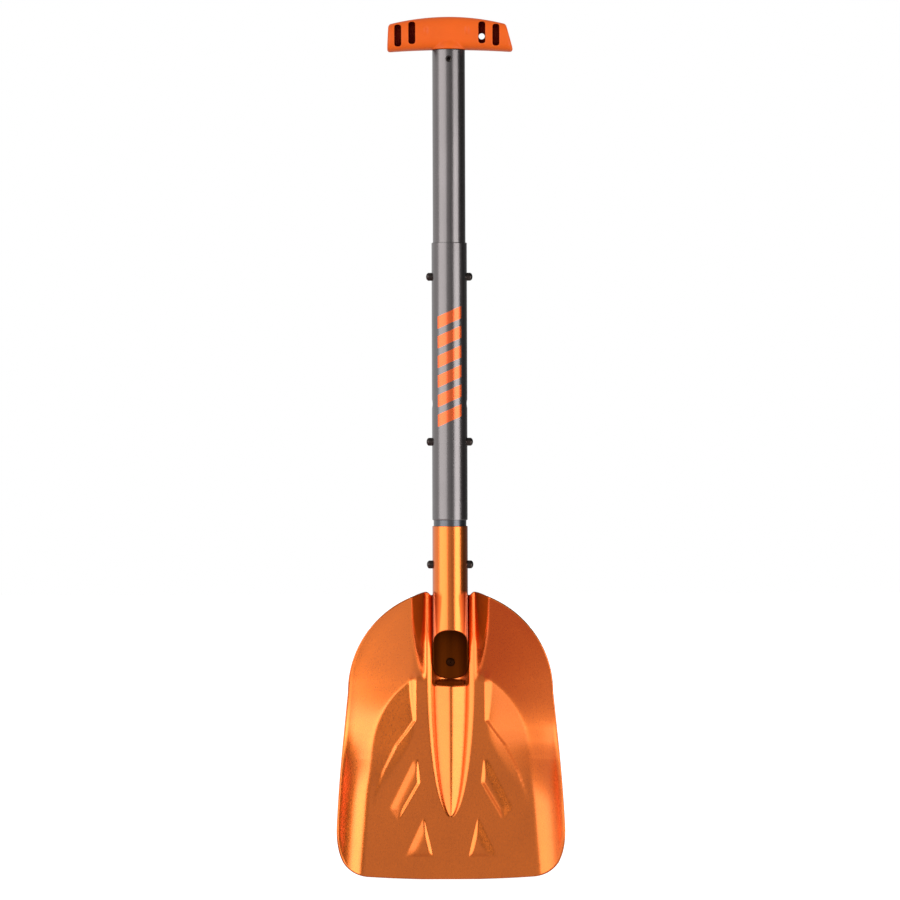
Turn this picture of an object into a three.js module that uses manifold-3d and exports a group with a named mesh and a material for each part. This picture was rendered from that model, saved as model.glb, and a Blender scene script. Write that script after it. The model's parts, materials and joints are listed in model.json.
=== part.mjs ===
// Avalanche shovel, put together and extended for digging.
// Millimetres. +Z runs up the shaft to the grip, the scoop opens towards -Y, +X is to the right
// of someone looking into the scoop. Everything is drawn about the shaft's axis, and moved at the
// end so that the origin is under the middle of the bounding box.
import * as THREE from "three";
import { mergeVertices } from "three/addons/utils/BufferGeometryUtils.js";
import Module from "manifold-3d";

const wasm = await Module();
wasm.setup();

// ---- driving dimensions ----------------------------------------------------------------------

// Shaft tubing: two sizes that telescope.
const WALL = 1.1;
const OUTER_RADIUS = 16.7;
const INNER_RADIUS = 15.45;
const TUBE_SIDES = 48;

// Where each tube starts and ends along the shaft.
const SOCKET_TOP = 332.3;
const MOUTH_FRONT = 234.5;
const MOUTH_BACK = 187;
const MOUTH_POWER = 0.4;
const COUPLER_BOTTOM = 273;
const COUPLER_TOP = 428;
const SHAFT_BOTTOM = 338;
const SHAFT_TOP = 600;
const HANDLE_TUBE_BOTTOM = 553;
const HANDLE_TUBE_TOP = 782.2;

// Snap buttons, one pair to each clip, and the holes that they snap into.
const SOCKET_BUTTONS = 296;
const SHAFT_BUTTONS = 412;
const TELESCOPE_BUTTONS = 568;
const TELESCOPE_TRAVEL = 120;
const BUTTON_RADIUS = 3.8;
const BUTTON_HOLE_RADIUS = 4.1;
const BUTTON_TIP = 22.0;
const BUTTON_SHOULDER = 12.9;
const BUTTON_DOME = 2.6;
const TAIL_RADIUS = 1.6;
const TAIL_HOLE_RADIUS = 1.9;
const TAIL_HEAD_RADIUS = 2.8;
const TAIL_HEAD_THICKNESS = 1.2;
const TAIL_GAP = 0.3;

// Clip springs: a bowed strip of spring steel with a button through each leg.
const LEAF_THICKNESS = 0.8;
const LEAF_WIDTH = 8;
const LEAF_REACH = 12.2;
const LEAF_STEPS = 28;

// Blade: pressed aluminium sheet.
const SHEET = 2.0;
const CROWN_RADIUS = 95;
const CROWN_CENTRE = 177.1;
const WIDEST_HALF = 105.8;
const WIDEST_HEIGHT = 46;
const FLARE_POWER = 1.3;
const CORNER_WIDTH = 28.6;
const CORNER_POWER = 2.2;
const EDGE_ARC_RADIUS = 1200;
const TOP_NOTCH = { depth: 4.5, inner: 17, outer: 23 };

// Where the sheet's four edges meet, half way round its rounded corners.
const SPLIT_X = 74.3;
const SPLIT_Z = 13;

// The floor leans forward below the tube's mouth, so that the shovel scoops with some lift.
const LIFT = Math.tan(THREE.MathUtils.degToRad(4));
const LIFT_START = 190;
const LIFT_EASE = 40;

// Outline of the floor: an arch on two slowly spreading sides.
const FLOOR_ARCH_WIDTH = 74.5;
const FLOOR_ARCH_HEIGHT = 84;
const FLOOR_ARCH_BASE = 113;
const FLOOR_FLARE = 9;

// Side walls curl up more and more towards their edge; the shoulders above them slope evenly.
const WALL_SLOPE = { side: 0.22, shoulder: 0.42 };
const WALL_CURVE = 0.018;
const WALL_ROUNDING = 1.5;
const SIDE_TO_SHOULDER = { low: 80, high: 150 };
const LIP_FLARE = { width: 9, curve: 0.008, start: 12 };

// Trough that the socket tube lies in, its rolled lips, and the spine below the tube's mouth.
const TROUGH_HALF = 20;
const TROUGH_LENGTH = 137;
const TROUGH_START = 195;
const LIP_WIDTH = 3.5;
const LIP_CURVE = 0.07;
const SADDLE_RADIUS = OUTER_RADIUS + 0.6;
const SADDLE_TANGENT = 15.5;
const SADDLE_BANK = { slope: 3, from: 17.9, rounding: 1 };
const SPINE_START = 185;
const SPINE_FULL = 180.2;
const SPINE_SLOPE = 0.5;
const SPINE_ROUNDING = 2.5;
const SPINE_DEPTH = 0.4;
const FOLD_ROUNDING = 0.5;

// Steep drop from the shoulders to the ledge beside the trough.
const LEDGE_OFFSET = 2.5;
const DROP_RUN = { narrow: 3.5, wide: 15, start: 186, length: 60 };

// Raised panels pressed in the floor.
const INNER_SLOPE = 0.52;
const OUTER_SLOPE = 0.2;
const BAR_HEIGHT = 1.5;
const ARROW_HEIGHT = 1.5;
const ARROW_FADE = { low: 14, high: 30 };
const WING_STEP = { along: 0.7, top: 2.6 };
const WING_STEP_ALONG = { low: 60, high: 110 };
const WING_STEP_TOP = { low: 125, high: 187 };
const WING_EDGE_FADE = { low: 184, high: 198 };
const WING_TILT = { slope: 0.145, rounding: 3, low: 70, high: 130 };
const WING_FOOT = { inner: 34, bend: 142, sweep: 0.72, rounding: 18 };

// Cutters reach well past both sides of what they cut, and points closer than this are one point.
const CUTTER_REACH = 40;
const WELD_DISTANCE = 1e-4;

// How finely the sheet is divided.
const HALF_COLUMNS = 22;
const ROWS = 52;

// Rivets that hold the socket tube in the trough.
const RIVET_HEIGHTS = { lower: 203, upper: 248 };
const RIVET_RADIUS = 2.4;
const RIVET_HEAD_RADIUS = 4;
const RIVET_HOLE_RADIUS = 2.7;
const RIVET_SEAT = 14.8;
const RIVET_HEAD_HEIGHT = 1.5;
const RIVET_BACK_HEIGHT = 1.7;
const RIVET_BACK_GAP = 0.35;
const RIVET_CROWN = { inset: 1, drop: 0.2, brim: 0.4 };
const RIVET_BACK_HEAD = { radius: 4.6, shoulder: 4.4, shoulderHeight: 0.7, crown: 2.4, drop: 0.3 };

// T-grip.
const GRIP_BOTTOM = 782.5;
const GRIP_TOP = 813.5;
const GRIP_ARCH = 7.1;
const GRIP_UNDER_ARCH = 2.1;
const GRIP_LEFT = 58.0;
const GRIP_RIGHT = 60.6;
const GRIP_RIGHT_SLANT = 5.8;
const GRIP_LEFT_SLANT = 1.0;
const GRIP_HALF_DEPTH = 15;
const GRIP_SQUARENESS = 3.2;
const GRIP_DEPTH_TAPER = 0.14;
const COLLAR_RADIUS = 16.6;
const COLLAR_HEIGHT = 7;
const COLLAR_DOME = 9;
const PLUG_RADIUS = INNER_RADIUS - WALL - 0.35;
const PLUG_BOTTOM = 751;
const SLOT_WIDTH = 6.3;
const SLOT_CORNER = 1.2;
const SLOT_DEPTH = 20;
const SLOT_WEB = 5;
const LANYARD_HOLE_RADIUS = 3;
const LANYARD_HOLE_HEIGHT = 795.2;
const PIN_HEIGHT = 773;
const PIN_RADIUS = 2.7;
const PIN_BORE_RADIUS = 1.7;
const PIN_BEVEL = 0.5;
const PIN_HOLE_RADIUS = 3.0;

const HOLE_SIDES = 16;
const GRIP_TURNED_SIDES = 32;

const orangeSheet = { color: 0xc8571f, roughness: 0.34, metalness: 0.9 };
const orangeTube = { color: 0xd8661f, roughness: 0.3, metalness: 0.9 };
const greyTube = { color: 0x8c8484, roughness: 0.38, metalness: 0.85 };
const orangePlastic = { color: 0xf2651f, roughness: 0.5, metalness: 0.0 };
const darkSteel = { color: 0x3b3432, roughness: 0.35, metalness: 0.8 };
const springSteel = { color: 0x77777c, roughness: 0.3, metalness: 1.0 };
const rivetAluminium = { color: 0x8a4a22, roughness: 0.4, metalness: 0.8 };

// ---- small helpers ---------------------------------------------------------------------------

const clamp01 = (t) => Math.min(1, Math.max(0, t));

function smooth(low, high, value) {
  const t = clamp01((value - low) / (high - low));
  return t * t * (3 - 2 * t);
}

const between = (range, value) => smooth(range.low, range.high, value);

const mix = (a, b, t) => a + (b - a) * t;

// A ramp that starts flat and settles to slope 1, rounded over the given radius.
const easedRamp = (distance, radius) => {
  const d = Math.max(0, distance);
  return Math.sqrt(d * d + radius * radius) - radius;
};

// The smaller of two values, with the corner between them rounded.
function softMin(a, b, rounding) {
  const h = Math.max(rounding - Math.abs(a - b), 0) / rounding;
  return Math.min(a, b) - (h * h * rounding) / 4;
}

function toSolid(geometry) {
  const bare = geometry.clone();
  bare.deleteAttribute("normal");
  bare.deleteAttribute("uv");
  const merged = mergeVertices(bare, WELD_DISTANCE);
  const mesh = new wasm.Mesh({
    numProp: 3,
    vertProperties: new Float32Array(merged.attributes.position.array),
    triVerts: new Uint32Array(merged.index.array),
  });
  return new wasm.Manifold(mesh);
}

function toGeometry(solid) {
  const { vertProperties, triVerts } = solid.getMesh();
  const geometry = new THREE.BufferGeometry();
  geometry.setAttribute("position", new THREE.BufferAttribute(vertProperties, 3));
  geometry.setIndex(new THREE.BufferAttribute(triVerts, 1));
  geometry.computeVertexNormals();
  return geometry;
}

// A solid of revolution about Z from [radius, height] points, going up the outside.
function turned(profile, sides) {
  const points = profile.map(([radius, height]) => new THREE.Vector2(radius, height));
  return new THREE.LatheGeometry(points, sides).rotateX(Math.PI / 2);
}

function tube(radius, low, high) {
  const bore = radius - WALL;
  const profile = [[bore, low], [radius, low], [radius, high], [bore, high], [bore, low]];
  return turned(profile, TUBE_SIDES);
}

function rod(radius, low, high) {
  return turned([[0, low], [radius, low], [radius, high], [0, high]], HOLE_SIDES);
}

// A round cutter along X or Y, centred on the shaft's axis at the given height.
function crossCutter(radius, halfLength, height, direction) {
  const cutter = rod(radius, -halfLength, halfLength);
  if (direction === "x") cutter.rotateY(Math.PI / 2);
  else cutter.rotateX(Math.PI / 2);
  return toSolid(cutter.translate(0, 0, height));
}

function drilled(solid, radius, heights, direction) {
  return heights.reduce(
    (left, height) => left.subtract(crossCutter(radius, CUTTER_REACH, height, direction)),
    solid,
  );
}

const group = new THREE.Group();

function add(name, geometry, finish) {
  const mesh = new THREE.Mesh(geometry, new THREE.MeshStandardMaterial(finish));
  mesh.name = name;
  group.add(mesh);
}

// ---- blade -----------------------------------------------------------------------------------

// The sheet before it is trimmed: a half-width that flares slowly from the crown to the corners.
function flaredHalfWidth(z) {
  const down = clamp01((z - WIDEST_HEIGHT) / (CROWN_CENTRE - WIDEST_HEIGHT));
  return WIDEST_HALF - (WIDEST_HALF - CROWN_RADIUS) * down ** FLARE_POWER;
}

// How far a rounded corner cuts in, for a share from 0 at its start to 1 at its end.
const cornerCut = (share) => 1 - (1 - clamp01(share) ** CORNER_POWER) ** (1 / CORNER_POWER);

// The half-width with the bottom corners rounded off.
const trimmedHalfWidth = (z) =>
  flaredHalfWidth(z) - CORNER_WIDTH * cornerCut((WIDEST_HEIGHT - z) / WIDEST_HEIGHT);

// Top edge: an arc, a little lower where it passes behind the tube.
function topEdge(u) {
  const x = SPLIT_X * u;
  const notch = TOP_NOTCH.depth * (1 - smooth(TOP_NOTCH.inner, TOP_NOTCH.outer, Math.abs(x)));
  return new THREE.Vector2(x, CROWN_CENTRE + Math.sqrt(CROWN_RADIUS ** 2 - x * x) - notch);
}

// Bottom edge: a shallow arc that runs into the rounded corners.
function bottomEdge(u) {
  const spread = trimmedHalfWidth(SPLIT_Z) - SPLIT_X;
  const x = SPLIT_X * u + spread * u ** 3;
  const straight = (x * x) / (2 * EDGE_ARC_RADIUS);
  const inCorner = (Math.abs(x) - (WIDEST_HALF - CORNER_WIDTH)) / CORNER_WIDTH;
  return new THREE.Vector2(x, straight + (WIDEST_HEIGHT - straight) * cornerCut(inCorner));
}

// The half-width of the sheet's side edge at a height.
function sideEdge(z) {
  if (z > CROWN_CENTRE) return Math.sqrt(CROWN_RADIUS ** 2 - (z - CROWN_CENTRE) ** 2);
  return trimmedHalfWidth(z);
}

// A point of the trimmed sheet, seen from the front: u runs across from -1 to 1, v up from 0 to 1.
function sheetPoint(u, v) {
  const point = bottomEdge(u).lerp(topEdge(u), v);
  const corner = bottomEdge(1).lerp(topEdge(1), v);
  point.x += (sideEdge(corner.y) - corner.x) * u ** 5;
  return point;
}

function floorPlane(z) {
  const drop = Math.max(0, LIFT_START - z);
  const eased = drop < LIFT_EASE ? (drop * drop) / (2 * LIFT_EASE) : drop - LIFT_EASE / 2;
  return -LIFT * eased;
}

// How far outside the floor's edge a point lies; negative on the floor.
function beyondFloor(a, z) {
  if (z < FLOOR_ARCH_BASE) {
    const flare = FLOOR_FLARE * (1 - z / FLOOR_ARCH_BASE);
    return a - FLOOR_ARCH_WIDTH - flare;
  }
  const up = z - FLOOR_ARCH_BASE;
  const reach = Math.hypot(a / FLOOR_ARCH_WIDTH, up / FLOOR_ARCH_HEIGHT);
  const leastReach = 0.05;
  return Math.hypot(a, up) * (1 - 1 / Math.max(reach, leastReach));
}

function insideEdge(a, z) {
  if (z < CROWN_CENTRE) return flaredHalfWidth(z) - a;
  return CROWN_RADIUS - Math.hypot(a, z - CROWN_CENTRE);
}

// Side walls and shoulders, which run out in a small flare along the sheet's edge.
function wallHeight(a, z) {
  const high = between(SIDE_TO_SHOULDER, z);
  const out = Math.max(0, beyondFloor(a, z));
  const slope = mix(WALL_SLOPE.side, WALL_SLOPE.shoulder, high);
  const flare = Math.max(0, LIP_FLARE.width - insideEdge(a, z));
  return slope * easedRamp(out, WALL_ROUNDING)
    + mix(WALL_CURVE, 0, high) * out * out
    + LIP_FLARE.curve * flare * flare * smooth(0, LIP_FLARE.start, out);
}

// Signed distance to a closed outline, negative inside.
function outlineDistance(a, z, outline) {
  let nearest = Infinity;
  let inside = false;
  outline.forEach(([x1, z1], i) => {
    const [x0, z0] = outline[(i + outline.length - 1) % outline.length];
    const ex = x1 - x0;
    const ez = z1 - z0;
    const t = clamp01(((a - x0) * ex + (z - z0) * ez) / (ex * ex + ez * ez));
    nearest = Math.min(nearest, Math.hypot(a - x0 - ex * t, z - z0 - ez * t));
    if (z1 > z !== z0 > z && a < ((x0 - x1) * (z - z1)) / (z0 - z1) + x1) inside = !inside;
  });
  return inside ? -nearest : nearest;
}

// Outlines of the panels, given for the right-hand side and anticlockwise. The wing's outline runs
// on past the sheet's edge.
const FAR = 400;
const WING = [
  [31.5, FAR], [32.5, 148], [51, 125], [63, 101], [71, 78], [76, 50], [FAR, 50], [FAR, FAR],
];
const BENT_BAR = [[31, 112], [28.7, 90], [49.5, 54.5], [58, 66], [35, 112]];
const ARROW = [[25.6, 58], [16.5, 20], [43.5, 20]];

// How far a point lies inside one edge of an anticlockwise outline.
function inwardDistance(a, z, [x0, z0], [x1, z1]) {
  const ex = x1 - x0;
  const ez = z1 - z0;
  return ((z - z0) * ex - (a - x0) * ez) / Math.hypot(ex, ez);
}

// A flat panel over a convex outline, with each edge rising at its own slope.
function chamfered(a, z, outline, slopes, height) {
  const rise = outline.reduce((lowest, corner, i) => {
    const before = outline[(i + outline.length - 1) % outline.length];
    return softMin(lowest, slopes[i] * inwardDistance(a, z, before, corner), FOLD_ROUNDING);
  }, height);
  return Math.max(rise, 0);
}

// The raised wing: a step along its inner line, and a face that climbs gently outwards.
function wingRise(a, z) {
  const step = WING_STEP.along * between(WING_STEP_ALONG, z) + WING_STEP.top * between(WING_STEP_TOP, z);
  const inside = Math.max(0, -outlineDistance(a, z, WING));
  const edge = Math.max(0, softMin(step, INNER_SLOPE * inside, FOLD_ROUNDING));
  const sweep = easedRamp(WING_FOOT.bend - z, WING_FOOT.rounding);
  const outwards = easedRamp(a - WING_FOOT.inner - WING_FOOT.sweep * sweep, WING_TILT.rounding);
  const tilt = WING_TILT.slope * between(WING_TILT, z);
  return mix(edge, step, between(WING_EDGE_FADE, z)) + tilt * outwards;
}

const BAR_SLOPES = [OUTER_SLOPE, INNER_SLOPE, INNER_SLOPE, OUTER_SLOPE, OUTER_SLOPE];
const ARROW_SLOPES = [OUTER_SLOPE, INNER_SLOPE, INNER_SLOPE];

function panelHeight(a, z) {
  const bar = chamfered(a, z, BENT_BAR, BAR_SLOPES, BAR_HEIGHT);
  const arrow = chamfered(a, z, ARROW, ARROW_SLOPES, ARROW_HEIGHT);
  return wingRise(a, z) + bar + arrow * between(ARROW_FADE, z);
}

// Half-width of the trough: parallel beside the tube, then closing to a point.
function troughHalf(z) {
  if (z >= TROUGH_START) return TROUGH_HALF;
  const along = clamp01((TROUGH_START - z) / TROUGH_LENGTH);
  return TROUGH_HALF * Math.sqrt(1 - along * along);
}

// Depth of the saddle that the tube rests in.
function cradleDepth(a) {
  return Math.sqrt(SADDLE_RADIUS ** 2 - Math.min(a, SADDLE_TANGENT) ** 2);
}

// Depth of the trough below the floor: a saddle under the tube, then a spine between two valleys,
// both inside rolled lips.
function troughDepth(a, z) {
  const leastShare = 0.05;
  const openness = troughHalf(z) / TROUGH_HALF;
  const share = Math.max(openness, leastShare);
  const inward = troughHalf(z) + LIP_WIDTH * openness - a;
  if (inward <= 0) return 0;
  const spineZone = 1 - smooth(SPINE_FULL, SPINE_START, z);
  const roll = (LIP_CURVE / share) * inward ** 2;
  const bank = easedRamp(SADDLE_BANK.from - a, SADDLE_BANK.rounding);
  const spine = SPINE_DEPTH + SPINE_SLOPE * easedRamp(a, SPINE_ROUNDING * share);
  const side = roll + mix(SADDLE_BANK.slope, 0, spineZone) * bank;
  return softMin(side, mix(cradleDepth(a), spine, spineZone), FOLD_ROUNDING);
}

// 0 on the ledge beside the trough, rising to 1 where the shoulders have their full height.
function besideTrough(a, z) {
  const up = clamp01((z - DROP_RUN.start) / DROP_RUN.length);
  const run = mix(DROP_RUN.narrow, DROP_RUN.wide, 1 - (1 - up) ** 2);
  const ledge = troughHalf(z) + LEDGE_OFFSET;
  return smooth(ledge, ledge + run, a);
}

// The sheet's front face.
function sheetFront(x, z) {
  const a = Math.abs(x);
  const raised = (wallHeight(a, z) + panelHeight(a, z)) * besideTrough(a, z);
  return floorPlane(z) - raised + troughDepth(a, z);
}

// Columns crowd towards the trough, where the sheet bends most.
const columnPosition = (k) => 0.45 * k + 0.55 * k ** 3;

function sheetGrid() {
  const positions = [];
  for (let j = 0; j <= ROWS; j += 1) {
    for (let i = -HALF_COLUMNS; i <= HALF_COLUMNS; i += 1) {
      const { x, y: z } = sheetPoint(columnPosition(i / HALF_COLUMNS), j / ROWS);
      positions.push(x, sheetFront(x, z), z);
    }
  }
  return positions;
}

function gridTriangles(columns, rows) {
  const triangles = [];
  for (let j = 0; j < rows; j += 1) {
    for (let i = 0; i < columns; i += 1) {
      const a = j * (columns + 1) + i;
      const d = a + columns + 1;
      if (i < columns / 2) triangles.push([a, a + 1, d + 1], [a, d + 1, d]);
      else triangles.push([a, a + 1, d], [a + 1, d + 1, d]);
    }
  }
  return triangles;
}

// The vertices around the sheet's edge, anticlockwise from the front.
function gridBorder(columns, rows) {
  const at = (i, j) => j * (columns + 1) + i;
  const border = [];
  for (let i = 0; i < columns; i += 1) border.push(at(i, 0));
  for (let j = 0; j < rows; j += 1) border.push(at(columns, j));
  for (let i = columns; i > 0; i -= 1) border.push(at(i, rows));
  for (let j = rows; j > 0; j -= 1) border.push(at(0, j));
  return border;
}

// Front and back skins a sheet's thickness apart, and the rim that joins them.
function bladeFaces(faces, count) {
  const backFaces = faces.map(([a, b, c]) => [a + count, c + count, b + count]);
  const border = gridBorder(2 * HALF_COLUMNS, ROWS);
  const rim = border.flatMap((a, k) => {
    const b = border[(k + 1) % border.length];
    return [[a, a + count, b + count], [a, b + count, b]];
  });
  return [...faces, ...backFaces, ...rim];
}

function indexed(positions, faces) {
  const geometry = new THREE.BufferGeometry();
  geometry.setAttribute("position", new THREE.Float32BufferAttribute(positions, 3));
  geometry.setIndex(faces.flat());
  return geometry;
}

function bladeSolid() {
  const front = sheetGrid();
  const faces = gridTriangles(2 * HALF_COLUMNS, ROWS);
  const skin = indexed(front, faces);
  skin.computeVertexNormals();
  const normals = skin.attributes.normal.array;
  const back = front.map((value, k) => value - SHEET * normals[k]);
  const body = indexed([...front, ...back], bladeFaces(faces, front.length / 3));
  return drilled(toSolid(body), RIVET_HOLE_RADIUS, Object.values(RIVET_HEIGHTS), "y");
}

// ---- socket tube and rivets ------------------------------------------------------------------

// How far the tube's foot rises above its lowest point: an arched mouth in front, straight down
// both sides, and a short rounded tongue behind.
function mouthRise(y) {
  const share = y / OUTER_RADIUS;
  const curve = Math.sign(share) * Math.min(1, Math.abs(share)) ** MOUTH_POWER;
  return ((MOUTH_FRONT - MOUTH_BACK) / 2) * (1 - curve);
}

function socketTube() {
  const body = tube(OUTER_RADIUS, MOUTH_BACK, SOCKET_TOP);
  const points = body.attributes.position;
  for (let k = 0; k < points.count; k += 1) {
    const z = points.getZ(k);
    if (z < SOCKET_BUTTONS) points.setZ(k, z + mouthRise(points.getY(k)));
  }
  const buttonHoles = drilled(toSolid(body), BUTTON_HOLE_RADIUS, [SOCKET_BUTTONS], "x");
  return Object.values(RIVET_HEIGHTS).reduce((solid, height) => {
    const drill = rod(RIVET_HOLE_RADIUS, 0, OUTER_RADIUS + WALL).rotateX(-Math.PI / 2);
    return solid.subtract(toSolid(drill.translate(0, 0, height)));
  }, buttonHoles);
}

// A round-headed rivet through the back of the tube and the sheet behind it.
function rivet(height) {
  const headFace = RIVET_SEAT - RIVET_HEAD_HEIGHT;
  const backSeat = SADDLE_RADIUS + SHEET + RIVET_BACK_GAP;
  const backFace = backSeat + RIVET_BACK_HEIGHT;
  const profile = [
    [0, headFace],
    [RIVET_HEAD_RADIUS - RIVET_CROWN.inset, headFace + RIVET_CROWN.drop],
    [RIVET_HEAD_RADIUS, RIVET_SEAT - RIVET_CROWN.brim],
    [RIVET_HEAD_RADIUS, RIVET_SEAT],
    [RIVET_RADIUS, RIVET_SEAT],
    [RIVET_RADIUS, backSeat],
    [RIVET_BACK_HEAD.radius, backSeat],
    [RIVET_BACK_HEAD.shoulder, backSeat + RIVET_BACK_HEAD.shoulderHeight],
    [RIVET_BACK_HEAD.crown, backFace - RIVET_BACK_HEAD.drop],
    [0, backFace],
  ];
  return turned(profile, HOLE_SIDES).rotateX(-Math.PI / 2).translate(0, 0, height);
}

// ---- snap-button clips -----------------------------------------------------------------------

// One leg of the clip's leaf, from its free end to the middle of the bend, as [across, along].
const LEAF_HALF = [[LEAF_REACH, -5], [LEAF_REACH, 4], [10.6, 17], [6.4, 29], [0, 35]];

// The bowed leaf: its legs lie along the tube's sides, and its bend points up or down.
function clipSpring(height, bend) {
  const mirrored = LEAF_HALF.slice(0, -1).reverse().map(([x, z]) => [-x, z]);
  const points = [...LEAF_HALF, ...mirrored].map(([x, z]) => new THREE.Vector2(x, z * bend));
  const line = new THREE.SplineCurve(points);
  const offset = (t, side) => {
    const tangent = line.getTangent(t);
    const normal = new THREE.Vector2(-tangent.y, tangent.x);
    return line.getPoint(t).addScaledVector(normal, (side * LEAF_THICKNESS) / 2);
  };
  const places = Array.from({ length: LEAF_STEPS + 1 }, (_, k) => k / LEAF_STEPS);
  const there = places.map((t) => offset(t, 1));
  const andBack = places.reverse().map((t) => offset(t, -1));
  const options = { depth: LEAF_WIDTH, bevelEnabled: false };
  const strip = new THREE.ExtrudeGeometry(new THREE.Shape([...there, ...andBack]), options);
  strip.rotateX(Math.PI / 2).translate(0, LEAF_WIDTH / 2, height);
  return drilled(toSolid(strip), TAIL_HOLE_RADIUS, [height], "x");
}

// A quarter-round profile from [radius, start] in to the axis, as [radius, height] points.
function domeProfile(radius, start, height) {
  return [0, 1, 2, 3].map((k) => {
    const angle = (k / 4) * (Math.PI / 2);
    return [radius * Math.cos(angle), start + height * Math.sin(angle)];
  });
}

// A domed button on a short tail that is headed over inside the spring's leg.
function button(side, height) {
  const tailHead = LEAF_REACH - LEAF_THICKNESS / 2 - TAIL_GAP;
  const profile = [
    [0, tailHead - TAIL_HEAD_THICKNESS],
    [TAIL_HEAD_RADIUS, tailHead - TAIL_HEAD_THICKNESS],
    [TAIL_HEAD_RADIUS, tailHead],
    [TAIL_RADIUS, tailHead],
    [TAIL_RADIUS, BUTTON_SHOULDER],
    [BUTTON_RADIUS, BUTTON_SHOULDER],
    ...domeProfile(BUTTON_RADIUS, BUTTON_TIP - BUTTON_DOME, BUTTON_DOME),
    [0, BUTTON_TIP],
  ];
  return turned(profile, HOLE_SIDES).rotateY((side * Math.PI) / 2).translate(0, 0, height);
}

// ---- shaft tubes -----------------------------------------------------------------------------

function couplerTube() {
  const body = toSolid(tube(INNER_RADIUS, COUPLER_BOTTOM, COUPLER_TOP));
  return drilled(body, BUTTON_HOLE_RADIUS, [SOCKET_BUTTONS, SHAFT_BUTTONS], "x");
}

// The outer shaft tube has holes for the coupler's buttons, and two pairs for the telescoping
// tube's buttons: extended and collapsed.
function shaftTube() {
  const body = toSolid(tube(OUTER_RADIUS, SHAFT_BOTTOM, SHAFT_TOP));
  const collapsed = TELESCOPE_BUTTONS - TELESCOPE_TRAVEL;
  return drilled(body, BUTTON_HOLE_RADIUS, [SHAFT_BUTTONS, collapsed, TELESCOPE_BUTTONS], "x");
}

function handleTube() {
  const body = toSolid(tube(INNER_RADIUS, HANDLE_TUBE_BOTTOM, HANDLE_TUBE_TOP));
  const buttonHoles = drilled(body, BUTTON_HOLE_RADIUS, [TELESCOPE_BUTTONS], "x");
  return drilled(buttonHoles, PIN_HOLE_RADIUS, [PIN_HEIGHT], "y");
}

// ---- grip ------------------------------------------------------------------------------------

// One point of the cross-piece: s runs along it from -1 to 1, angle runs around its section.
function crossPiecePoint(s, angle, shrink) {
  const top = GRIP_TOP - GRIP_ARCH * s * s;
  const bottom = GRIP_BOTTOM - GRIP_UNDER_ARCH * s * s;
  const power = 2 / GRIP_SQUARENESS;
  const across = Math.sign(Math.cos(angle)) * Math.abs(Math.cos(angle)) ** power;
  const upward = Math.sign(Math.sin(angle)) * Math.abs(Math.sin(angle)) ** power;
  const z = (top + bottom) / 2 + (shrink * upward * (top - bottom)) / 2;
  const y = shrink * across * GRIP_HALF_DEPTH * (1 - GRIP_DEPTH_TAPER * s * s);
  const high = clamp01((z - bottom) / (top - bottom));
  const reach = s < 0 ? GRIP_LEFT - GRIP_LEFT_SLANT * high : GRIP_RIGHT - GRIP_RIGHT_SLANT * high;
  return [s * reach, y, z];
}

// Sections along the cross-piece, as [place from -1 to 1, size]: its two ends are eased in.
const GRIP_STATIONS = [
  [-1, 0.9], [-0.975, 1], ...[-6, -5, -4, -3, -2, -1, 0, 1, 2, 3, 4, 5, 6].map((k) => [k / 7, 1]),
  [0.975, 1], [1, 0.9],
];
const GRIP_AROUND = 28;

function crossPieceFaces() {
  const faces = [];
  for (let j = 0; j < GRIP_STATIONS.length - 1; j += 1) {
    for (let k = 0; k < GRIP_AROUND; k += 1) {
      const a = j * GRIP_AROUND + k;
      const b = j * GRIP_AROUND + ((k + 1) % GRIP_AROUND);
      faces.push([a, b, b + GRIP_AROUND], [a, b + GRIP_AROUND, a + GRIP_AROUND]);
    }
  }
  const last = (GRIP_STATIONS.length - 1) * GRIP_AROUND;
  for (let k = 1; k < GRIP_AROUND - 1; k += 1) {
    faces.push([0, k + 1, k], [last, last + k, last + k + 1]);
  }
  return faces;
}

function crossPiece() {
  const positions = GRIP_STATIONS.flatMap(([s, size]) =>
    Array.from({ length: GRIP_AROUND }, (_, k) => {
      const angle = (k / GRIP_AROUND) * 2 * Math.PI;
      return crossPiecePoint(s, angle, size);
    }).flat());
  return toSolid(indexed(positions, crossPieceFaces()));
}

// Upright slots that core out the cross-piece from the front and the back.
const SLOTS = [
  { x: -47.4, low: 785.0, high: 805.7 },
  { x: -34.0, low: 787.3, high: 808.4 },
  { x: 32.4, low: 787.7, high: 808.4 },
  { x: 45.6, low: 785.6, high: 806.2 },
];

function slotCutter({ x, low, high }, side) {
  const radius = SLOT_CORNER;
  const half = SLOT_WIDTH / 2;
  const depth = SLOT_DEPTH;
  const shape = new THREE.Shape();
  shape.moveTo(x - half + radius, low);
  shape.absarc(x + half - radius, low + radius, radius, -Math.PI / 2, 0);
  shape.absarc(x + half - radius, high - radius, radius, 0, Math.PI / 2);
  shape.absarc(x - half + radius, high - radius, radius, Math.PI / 2, Math.PI);
  shape.absarc(x - half + radius, low + radius, radius, Math.PI, 1.5 * Math.PI);
  const options = { depth, bevelEnabled: false, curveSegments: 2 };
  const block = new THREE.ExtrudeGeometry(shape, options).rotateX(Math.PI / 2);
  const start = side < 0 ? -SLOT_WEB / 2 : SLOT_WEB / 2 + depth;
  return toSolid(block.translate(0, start, 0));
}

function collar() {
  const shoulder = GRIP_BOTTOM + COLLAR_HEIGHT;
  const dome = domeProfile(COLLAR_RADIUS, shoulder, COLLAR_DOME);
  const top = [0, shoulder + COLLAR_DOME];
  return turned([[0, GRIP_BOTTOM], [COLLAR_RADIUS, GRIP_BOTTOM], ...dome, top], GRIP_TURNED_SIDES);
}

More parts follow.
